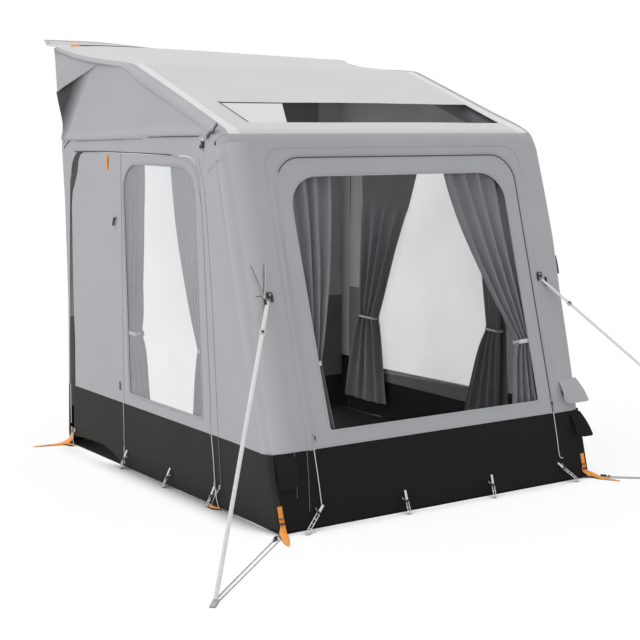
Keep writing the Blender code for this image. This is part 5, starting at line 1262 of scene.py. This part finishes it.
for side, wall in SIDES:
    mud_flap_and_shade(wall, [(side * x, y) for x, y in ((0.999, 0.006), (0.999, 2.33), (0.50, 2.30), (0.46, 0.30))],
             lambda v: 0.0030, 160.0)
mud_flap_and_shade("front", [(-0.97, 0.003), (0.97, 0.003), (0.66, 0.72), (-0.66, 0.72)],
         lambda v: 0.0028 + 0.007 * smooth(v, 0.03, 0.12), 164.0)

# Flaps at the front corners


def flap_sheet(name, side, edges, slant, length, flare, materials, node, leans, fold=0.024):
    """A loose flap that stands off the front wall; edges, slant and length place its seam and hem."""
    first, last = edges
    flare = math.radians(flare)
    seat = 0.0003 + 0.002 * math.cos(flare) - 0.002

    def place(u, v, w=0.0):
        depth = slant - v
        share = (abs(u) - first) / (last - first)
        rise = depth * math.sin(flare * (0.60 + 0.60 * share)) + 0.010 * math.sin(math.pi * max(0.0, depth) / length)
        rise += fold * (1 - share) ** 2 * depth / length
        aside = side * (leans[0] + (leans[1] - leans[0]) * share) * depth / length
        return pressed(front(u + aside, slant - depth * math.cos(flare), seat + rise + w))

    corners = [(first, slant, 0), (last, slant, 0), (last, slant - length, 0.012), (first, slant - length, 0.03)]
    make_sheet(
        name, rounded([(side * u, v, radius) for u, v, radius in corners]), place, OUT, materials, [node], body=node,
        step=0.012, thickness=0.0018,
        relief=lambda u, v: wander(u, v, 14.0, 9.0, 170 + side, 0.0016),
    )


FRONT_BLACKS_SHADED = [FRONT_BLACK_SHADED, BLACK_INSIDE]
flap_sheet(
    "left_black_flap", -1, (0.866, 0.972), 0.36, 0.160, 9, FRONT_BLACKS_SHADED, "left_skirt_flap", (0.028, 0.024),
)
flap_sheet(
    "right_black_flap", 1, (0.925, 0.992), 0.362, 0.150, 19, FRONT_BLACKS_SHADED, "right_skirt_flap", (0.004, 0.018),
    0.0,
)
flap_sheet(
    "valve_cover_flap", 1, (0.893, 0.992), 0.548, 0.148, 20, [FRONT_GREY, INNER], "valve_flap",
    (-0.010, 0.022), 0.006,
)

# Seams, zips and window edges


def bead_line(
    name, path, place, width, height, material=GREY, per=1, body="shell", slot="grey_cloth", lift=0.0010,
):
    """A low raised line that follows a flat path on a curved place; per smooths the path."""
    points = dense_line(smooth_path([(p[0], p[1], 0) for p in path], per), 0.045)
    on = [place(p.x, p.y, lift) for p in points]
    across = []
    for index, p in enumerate(points):
        a, b = neighbours(on, index)
        out = (place(p.x, p.y, 0.01) - place(p.x, p.y, 0)).normalized()
        across.append((b - a).normalized().cross(out))
    made = Parts(name, material)
    made.sweep(on, strap_section(width, height, 0.5), across)
    made.done(body, slot)


over_wall = wrapped(CORNER)
faces = {side: on_side(side) for side, _ in SIDES}
zip_path = arched(0.0, 0.150)
window_seam = front_window(-0.650, 0.443, 0.737, 1.722, -0.681, 0.167, 9)
side_seam = side_window((0.735, 1.545), (0.820, 1.595), (0.42, 0.42), 1.695, 0.15, 6)
ZIP_RISE = [
    (0.6625, 0.362), (0.667, 0.53), (0.690, 0.85), (0.709, 1.135), (0.733, 1.457), (0.752, 1.56), (0.778, 1.641),
    (0.822, 1.694), (0.88, 1.722), (0.95, 1.738), (1.035, 1.745),
]
ZIP_TOP = [(1.035, 1.745), (1.273, 1.747), (1.60, 1.747), (1.90, 1.745), (2.19, 1.738)]
EDGE_RISE = [(0.585, 0.364), (0.60, 0.53), (0.625, 0.85), (0.657, 1.24), (0.672, 1.45), (0.70, 1.62), (0.76, 1.74)]
ROLL_NOTCH = [(2.250, 1.801), (2.290, 1.784), (2.332, 1.756)]
ZIP_FOOT = [(0.6543, 0.012), (0.657, 0.12), (0.6615, 0.30), (0.664, 0.36)]


def rolled(start, step):
    return [(start - step * i, roll_line(start - step * i) - 0.005) for i in range(19)]


for name, path, width, height, look in (
    ("zip_left_side", zip_path[:5], 0.0080, 0.0030, FRONT_GREY),
    ("zip_line", zip_path[4:], 0.0058, 0.0044, ZIP_DARK),
    ("zip_flap_edge", arched(0.014, 0.162), 0.0024, 0.0022, FRONT_GREY),
    ("outer_seam", arched(0.050, 0.10, SKIRT_V + 0.004), 0.0030, 0.0024, FRONT_GREY),
):
    bead_line(f"front_{name}", path, over_wall, width, height, look)
bead_line(
    "front_window_seam", window_seam + window_seam[:1], front, 0.0026, 0.0022, FRONT_GREY, body="front_panel",
    lift=0.0004,
)
bead_line(
    "front_skirt_seam", [(u, SKIRT_V + 0.002) for u in even(-0.965, 0.965, 40)], over_wall, 0.006, 0.0030, FRONT_GREY,
    lift=0.0006,
)
bead_line(
    "skylight_left_edge", [(-0.776, 0.142), (-0.776, 0.453)], lambda u, v, w=0.0: drooped(sky(u, v, w)), 0.0034, 0.0030,
    ZIP_DARK, slot="light_cloth", lift=0.0034,
)
bead_line("left_door_zip", [(1.615, 0.012 + 0.0577 * i) for i in range(31)], faces[-1], 0.0105, 0.0026)
for side, wall in SIDES:
    nearer = 0.0 if side < 0 else 0.10
    corner_seam = [(0.47 + nearer, 1.775), (0.56 + nearer, 1.72), (0.64 + nearer, 1.672)]
    # The roll lines and the roll notch are dark beads that paint the shade under the roll of cloth and in its notch at
    # the rear
    for name, path, width, height, look, per in (
        ("panel_zip_rise", ZIP_RISE, 0.0085, 0.0028, GREY, 4), ("panel_zip_top", ZIP_TOP, 0.0058, 0.0028, ZIP_DARK, 4),
        ("zip_flap_seam", EDGE_RISE, 0.0022, 0.0018, GREY, 5), ("corner_seam", corner_seam, 0.0030, 0.0016, GREY, 4),
        ("roll_shade_rear", rolled(2.17, 0.045), 0.0030, 0.0028, SEAM, 1),
        ("roll_shade_front", rolled(1.29, 0.030), 0.0042, 0.0032, ZIP_DARK, 1),
        ("roll_notch_shade", ROLL_NOTCH, 0.0075, 0.0036, ZIP_DARK, 4),
    ):
        bead_line(f"{wall}_{name}", path, faces[side], width, height, look, per)
bead_line("right_front_zip_foot", ZIP_FOOT, faces[1], 0.0085, 0.0028, SIDE_BLACK_LIT, 4)
bead_line("right_rear_zip", [(2.2425, 0.012 + 0.0570 * i) for i in range(31)], faces[1], 0.0060, 0.0042, ZIP_DARK)
bead_line("left_window_seam", side_seam + side_seam[:1], faces[-1], 0.0026, 0.0026)

# Reinforcements, clips and toggles at the guy points

# Painted shade: the seam-coloured arms beside the pale ones, and the dark wedge on the right, darken the folds at the
# guy points
APEX = Vector((0.904, 1.118))
ARMS = (
    ((0.952, 1.300), 0, 0.0035, 0.0056), ((0.940, 1.285), 1, 0.012, 0.0040), ((0.873, 1.300), 0, 0.0035, 0.0056),
    ((0.884, 1.285), 1, 0.012, 0.0040),
)
for side, wall in SIDES:
    patch = Parts(f"{wall}_guy_reinforcement", PALE_WEBBING, SEAM, BLACK_PLASTIC, WHITE_PLASTIC, ZIP_DARK)
    bars = []
    if side < 0:
        for target, look, wide, lift in ARMS:
            on = [over_wall(side * p.x, p.y, lift) for p in even(APEX, Vector(target), 8)]
            across = (on[-1] - on[0]).normalized().cross(OUT)
            patch.sweep(on, strap_section(wide, 0.0026), across, look, even(1.0, 0.25, 8))
        bars = [((0.927, 1.132, 0.0050), (0.034, 0.0026, 0.002), 4, 0.0006)]
    else:
        wedge = [over_wall(0.985 + 0.028 * i / 6, 1.235 - 0.100 * i / 6, 0.0045) for i in range(7)]
        patch.sweep(wedge, strap_section(0.034, 0.0026), X, 4, even(0.15, 1.0, 6))
    patch.blocks(lambda u, v, w: over_wall(side * u, v, w), (X * side, UP, OUT), [
        ((0.880, 1.132, 0.0062), (0.030, 0.030, 0.006), 2, 0.0016),
        ((0.868, 1.120, 0.0062), (0.014, 0.040, 0.006), 2, 0.0016),
        ((0.878, 1.136, 0.0102), (0.007, 0.008, 0.003), 3, 0.001), *bars,
        ((0.905, 1.092, 0.0100), (0.010, 0.050, 0.010), 2, 0.0030),
    ])
    patch.done("shell", "black_plastic")

# Small fittings: buckle, tabs, toggles, hooks, and dark strips at the left corner that paint the shade of a fold

# Painted shade: a fold of the wall's cloth is drawn as two raised strips in dark colours
CORNER_FOLD = [(0.556, 1.903), (0.578, 1.886), (0.588, 1.868), (0.622, 1.858), (0.650, 1.834)]
for side, wall in SIDES:
    face = faces[side]
    fitting = Parts(f"{wall}_corner_fitting", BLACK_PLASTIC, WHITE_PLASTIC, SEAM, ZIP_DARK)
    fitting.blocks(face, (Y, Z, X * side), [
        ((0.690, 1.806, 0.007), (0.020, 0.040, 0.008), 0, 0.003),
        ((0.706, 1.794, 0.008), (0.016, 0.018, 0.008), 0, 0.003),
        ((0.685, 1.828, 0.009), (0.022, 0.014, 0.006), 1, 0.002),
    ])
    if side < 0:
        for du, dv, width, height, look in ((0, 0, 0.010, 0.004, 3), (0.006, 0.010, 0.009, 0.003, 2)):
            on = [face(u + du, v + dv, 0.006) for u, v in CORNER_FOLD]
            fitting.sweep(smooth_path(on, 4), strap_section(width, height), (0, 0.6, 0.8), look)
    fitting.done("shell", "black_plastic")

toggle = Parts("left_door_toggles", BLACK_PLASTIC, ZIP_DARK, ORANGE_WEBBING)
toggle.blocks(faces[-1], (Y, (0, -0.35, 1), -X), [
    ((1.690, 1.366, 0.009), (0.014, 0.050, 0.008), 0, 0.003), ((1.676, 1.385, 0.007), (0.020, 0.008, 0.006), 0, 0.002),
])
toggle.block(faces[-1](1.648, 0.452, 0.006), (Y, Z, -X), (0.008, 0.050, 0.004), 1, 0.002)
tab_line = ((1.771, 1.724, 0.003), (1.772, 1.700, 0.006), (1.773, 1.675, 0.005), (1.774, 1.650, 0.003))
toggle.sweep(smooth_path([faces[-1](*p) for p in tab_line], 3), strap_section(0.020, 0.0016), Y, 2)
toggle.done("left_door", "black_plastic")

# Orange corner straps with their buckles

FRONT_STRAP = ((0.132, 0.0020), (0.100, 0.0022), (0.066, 0.0026), (0.034, 0.0050))
FRONT_LOOSE = ((1.000, -0.022, 0.0130), (1.030, -0.072, 0.0030), (1.055, -0.120, 0.0022), (1.075, -0.165, 0.0012))
REAR_STRAP = (
    (1.0013, 2.285, 0.100), (1.0016, 2.287, 0.080), (1.0030, 2.290, 0.055), (1.0100, 2.296, 0.030),
    (1.045, 2.305, 0.0085), (1.090, 2.312, 0.0022), (1.16, 2.322, 0.0030), (1.235, 2.334, 0.0012),
)


def make_strap(wall, end, points, widths, bands, axes):
    """An orange strap along points; each band is a buckle's centre and height, on the strap's own axes."""
    strap = Parts(f"{wall}_{end}_orange_strap", ORANGE_WEBBING, BLACK_PLASTIC)
    path = smooth_path(points)
    scales = [in_table(i / (len(path) - 1) * (len(widths) - 1), widths) for i in range(len(path))]
    strap.sweep(path, strap_section(0.027, 0.0020), axes[0], 0, scales)
    _, lengthwise, outward = axes
    for centre, height in bands:
        strap.block(centre + outward * 0.0018, axes, (0.031, height, 0.0044), 1, 0.0010)
        strap.block(centre - lengthwise * 0.0075 + outward * 0.0022, axes, (0.029, 0.0018, 0.0018), 0)
    strap.done("shell", "orange_webbing", f"{wall}_{end}_strap")


for side, wall in SIDES:
    x = -0.985 if side < 0 else 0.958
    loose = [plan(side * p[0], *p[1:]) for p in FRONT_LOOSE]
    make_strap(
        wall, "front", [pressed(front(x, *p)) for p in FRONT_STRAP] + [pressed(loose[0])] + loose[1:],
        [0.95, 0.95, 1.0, 1.05, 1.45, 1.35, 1.0, 0.35],
        [(pressed(front(x, 0.074, 0.0030)), 0.0042), (pressed(front(x, 0.050, 0.0038)), 0.0085)], (X, UP, OUT),
    )
    make_strap(
        wall, "rear", [plan(side * p[0], *p[1:]) for p in REAR_STRAP], [0.95, 1.0, 1.3, 1.9, 2.1, 1.5, 1.0, 0.5],
        [(plan(side * 1.0030, 2.287, 0.074), 0.010)], (Y, Z, X * side),
    )

# Peg ladders: a hooked head over two rails and their rungs, of moulded rubber


def make_ladder(wall, number, top, foot, outward, body="shell", gaps=2, hook_side=-1):
    flat = outward.cross(Z).normalized()
    top = pressed(top) + outward * 0.0040
    foot = foot + outward * 0.0035
    foot.z = 0.0064
    along = (top - foot).normalized()
    normal = flat.cross(along).normalized()
    across = along.cross(normal)
    length = (top - foot).length
    ladder = Parts(f"{wall}_peg_ladder_{number}", PALE_WEBBING, GREY_PLASTIC, BLACK_PLASTIC)
    head = 0.68 if gaps > 2 else 0.52
    for sign in (-1, 1):
        ladder.tube([
            foot + along * length * head * i / 24
            + across * sign * (0.0076 - 0.0011 * (1 - math.cos(2 * math.pi * i / 24 * gaps)) / 2) for i in range(25)
        ], 0.0021)
    for share in even(0.012, head, gaps):
        centre = foot + along * length * share
        ladder.tube([centre - across * 0.0080, centre + normal * 0.0006, centre + across * 0.0080], 0.0020)
    post = [foot + along * length * share for share in (head, head + 0.08, 0.90, 1.0)]
    ladder.sweep(smooth_path(post, 3), strap_section(0.0130, 0.0036), across)
    at = foot + along * length * (head + 0.10)
    hook = [
        at + across * hook_side * a + along * b + normal * c
        for a, b, c in ((0, 0, 0.004), (0.012, 0, 0.006), (0.020, 0.003, 0.005), (0.022, 0.010, 0.003))
    ]
    ladder.tube(smooth_path(hook, 3), 0.0021, 1)
    axes = (across, along, normal)
    ladder.block(at + normal * 0.0030, axes, (0.017, 0.006, 0.0040), 1, 0.0014)
    tongue = at - along * 0.012 + across * hook_side * 0.004 - normal * 0.001
    ladder.block(tongue, axes, (0.020, 0.018, 0.0030), 2, 0.0010)
    ladder.done(body, "pale_webbing", f"{wall}_ladder_{number}")


FRONT_LADDERS = ((-0.752, -0.905, 1.24, 4), (-0.254, -0.284, 1.0, 2), (0.317, 0.275, 1.0, 2), (0.790, 0.879, 0.9, 4))
for number, (top_x, foot_x, reach, gaps) in enumerate(FRONT_LADDERS, 1):
    make_ladder(
        "front", number, front(top_x, 0.100 / COS), plan(foot_x, -0.050 * reach, 0), OUT, "shell", gaps,
        1 if number < 4 else -1,
    )
for side, wall in SIDES:
    for number, y in enumerate((0.620, 1.080, 1.575), 1):
        body = "right_panel" if side > 0 and number > 1 else "shell"
        make_ladder(wall, number, plan(side * HALF, y, 0.100), plan(side * 1.045, y, 0), X * side, body)

# Elastic cords sewn from the skirt's top seam down to the ladders' hooks

for name, place, points, radius, look in (
    ("left_front_elastic", front, [(-0.757, 0.376, 0.004), (-0.757, 0.24, 0.0045), (-0.761, 0.108, 0.006)], 0.0022,
     PALE_WEBBING),
    ("left_front_tie_cord", front, [(-0.797, 0.374, 0.003), (-0.812, 0.23, 0.0035), (-0.832, 0.085, 0.004)], 0.0012,
     SEAM),
    ("left_front_second_cord", front, [(-0.869, 0.372, 0.003), (-0.878, 0.26, 0.0035), (-0.890, 0.155, 0.004)], 0.0010,
     SEAM),
    ("right_front_elastic", front, [(0.818, 0.376, 0.004), (0.814, 0.24, 0.0045), (0.809, 0.140, 0.006),
                                    (0.832, 0.126, 0.006)], 0.0020, PALE_WEBBING),
    ("left_side_elastic", plan, [(-1.004, 0.648, 0.366), (-1.004, 0.628, 0.24), (-1.006, 0.612, 0.122)], 0.0022,
     PALE_WEBBING),
    ("left_side_tie_cord", plan, [(-1.004, 0.580, 0.364), (-1.004, 0.566, 0.24), (-1.005, 0.553, 0.116)], 0.0014, SEAM),
    ("left_door_tie_cord", plan, [(-1.006, 1.602, 0.362), (-1.007, 1.605, 0.24), (-1.006, 1.608, 0.112)], 0.0013, SEAM),
    ("left_rear_tie_cord", plan, [(-1.004, 2.300, 0.366), (-1.005, 2.296, 0.24), (-1.008, 2.290, 0.128)], 0.0024,
     BINDING),
):
    cord = Parts(name, look)
    cord.tube(smooth_path([pressed(place(*p)) for p in points]), radius)
    cord.done("shell", "pale_webbing")

for name, corner_y, wide, tall in (("left_side", 0.583, 0.072, 0.112), ("left_rear", 2.262, 0.060, 0.095)):
    lashing = Parts(f"{name}_lashing", PALE_WEBBING, ORANGE_WEBBING, GREY_PLASTIC)
    a, b = (plan(-1.022, corner_y + sign * wide / 2, 0.008) for sign in (1, -1))
    c, d = plan(-1.008, corner_y + wide * 0.38, tall), plan(-1.008, corner_y - wide * 0.30, tall * 0.96)
    for first, last in ((a, d), (b, c), (a, d + Vector((0, 0.012, -0.02))), (b, c + Vector((0, -0.012, -0.02)))):
        lashing.tube(smooth_path([first, (first + last) / 2 - X * 0.004, last], 5), 0.0016, 0, 7)
    for spot in (c, d):
        lashing.block(spot, (Y, Z, -X), (0.012, 0.022, 0.007), 2, 0.0025)
    base = [a + Y * 0.012, (a + b) / 2 + Vector((-0.020, 0, 0.001)), b - Y * 0.012]
    scales = [0.35 + 0.65 * math.sin(math.pi * i / 10) for i in range(11)]
    lashing.sweep(smooth_path(base, 5), strap_section(0.020, 0.0022), X, 1, scales)
    lashing.done("shell", "pale_webbing")

# Painted highlights: small white blocks along the front window's edge stand in for glints on the film
glints = Parts("front_window_painted_glints", WHITE_PLASTIC)
glints.blocks(front, (X, UP, OUT), [((x, v, 0.0012), (size, 0.0034, 0.0020), 0, 0.0008) for x, v, size in (
    (-0.636, 0.444, 0.007), (-0.612, 0.443, 0.006), (-0.585, 0.444, 0.005), (-0.43, 0.445, 0.004),
    (-0.31, 0.444, 0.007), (-0.155, 0.444, 0.007), (0.03, 0.444, 0.008), (0.24, 0.444, 0.004),
    (-0.660, 0.84, 0.005), (-0.668, 1.02, 0.004),
)])
glints.done("front_panel", "clear_film")
for side, wall in SIDES:
    hook = Parts(f"{wall}_return_hook", BLACK_PLASTIC, SEAM)
    axes = ((side * 0.72, -0.69, 0), (0.69 * side, 0.72, 0), Z)
    hook.block(plan(side * 1.068, -0.046, 0.0085), axes, (0.034, 0.015, 0.009), 0, 0.003)
    hook.block(plan(side * 1.090, -0.066, 0.0080), axes, (0.014, 0.008, 0.007), 1, 0.002)
    hook.done("shell", "black_plastic")

# Sliders of the front panel's zip, where the zip's own line runs

for wall, x in (("left", PANEL_LEFT), ("right", PANEL_RIGHT)):
    low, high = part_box(f"{wall}_front_slider")
    middle = (low + high) / 2
    v = (middle.z * COS) + (middle.y - SHIFT) * SIN
    slider = Parts(f"{wall}_front_zip_slider", STEEL, BLACK_PLASTIC)
    slider.blocks(front, (X, UP, OUT), [
        ((x, v, 0.0050), (0.0090, 0.0120, 0.0044), 0, 0.0014),
        ((x, v - 0.001, 0.0080), (0.0030, 0.0080, 0.0024), 0, 0.0008),
        ((x, v - 0.016, 0.0074), (0.0060, 0.0220, 0.0016), 1, 0.0007),
    ])
    slider.done(f"{wall}_front_slider", "slider_steel", f"{wall}_front_slider")

# Finishes of the rigid parts that stay as they are

TRACKS = ("front_curtain_track", "left_curtain_track", "right_curtain_track")
for node in ("inflation_valve", "valve_cap", *TRACKS):
    for cad_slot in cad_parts[node].material_slots:
        cad_slot.material = GREY_PLASTIC if node in TRACKS else BLACK_PLASTIC

# Stage and light: a painted contact shadow darkens the floor towards what stands on it

FLOOR_REACH, FLOOR_DROP, SHADE_REACH, CAMERA_SHARE = 60, 0.0006, 0.36, 0.86
floor_mesh = bpy.data.meshes.new("floor")
corners = [(x * FLOOR_REACH, y * FLOOR_REACH, 0) for x, y in ((-1, -1), (1, -1), (1, 1), (-1, 1))]
floor_mesh.from_pydata(corners, [], [(0, 1, 2, 3)])
look = Look("floor_look", 0.9, 0.0)
painted_contact_shade = look.add("AmbientOcclusion", Distance=SHADE_REACH)
painted_contact_shade.samples = 12
near = painted_contact_shade.outputs["AO"]
# Painted shadow: both the floor's colour and its white glow for camera rays darken with ambient occlusion near the
# object
look.put(Base_Color=look.ramp(near, [(0.48, 0.10), (0.57, 0.26), (0.70, 0.66), (0.83, 0.93)]))
backdrop_glow = look.add("Emission", look.ramp(near, [(0.48, 0.04), (0.56, 0.30), (0.64, 0.86), (0.72, 1.0)]))
seen = look.math("MULTIPLY", look.add("LightPath").outputs["Is Camera Ray"], CAMERA_SHARE)
blend = look.add("MixShader", seen, look.shader.outputs[0], backdrop_glow.outputs[0])
look.feed(look.tree.nodes["Material Output"].inputs["Surface"], blend.outputs[0])
floor = link("floor", floor_mesh, [look.material])
floor.location.z = -FLOOR_DROP

world = bpy.data.worlds.new("studio")
bpy.context.scene.world = world
world.use_nodes = True
sky_tree = Tree(world.node_tree)
background = world.node_tree.nodes["Background"]
background.inputs["Color"].default_value = (0.62, 0.62, 0.625, 1)
white = sky_tree.add("Background", (1, 1, 1, 1))
rays = sky_tree.add("LightPath").outputs
straight = sky_tree.math("MAXIMUM", rays["Is Camera Ray"], rays["Is Glossy Ray"])
straight = sky_tree.math("MAXIMUM", straight, rays["Is Transmission Ray"])
mix = sky_tree.add("MixShader", straight, background.outputs[0], white.outputs[0])
sky_tree.feed(world.node_tree.nodes["World Output"].inputs["Surface"], mix.outputs[0])

sun_data = bpy.data.lights.new("sun", "SUN")
sun_data.energy = 1.73
sun_data.angle = math.radians(50)
sun = bpy.data.objects.new("sun", sun_data)
bpy.context.scene.collection.objects.link(sun)
sun.rotation_mode = "QUATERNION"
sun.rotation_quaternion = Vector((-0.377, 0.203, 0.904)).to_track_quat("Z", "Y")
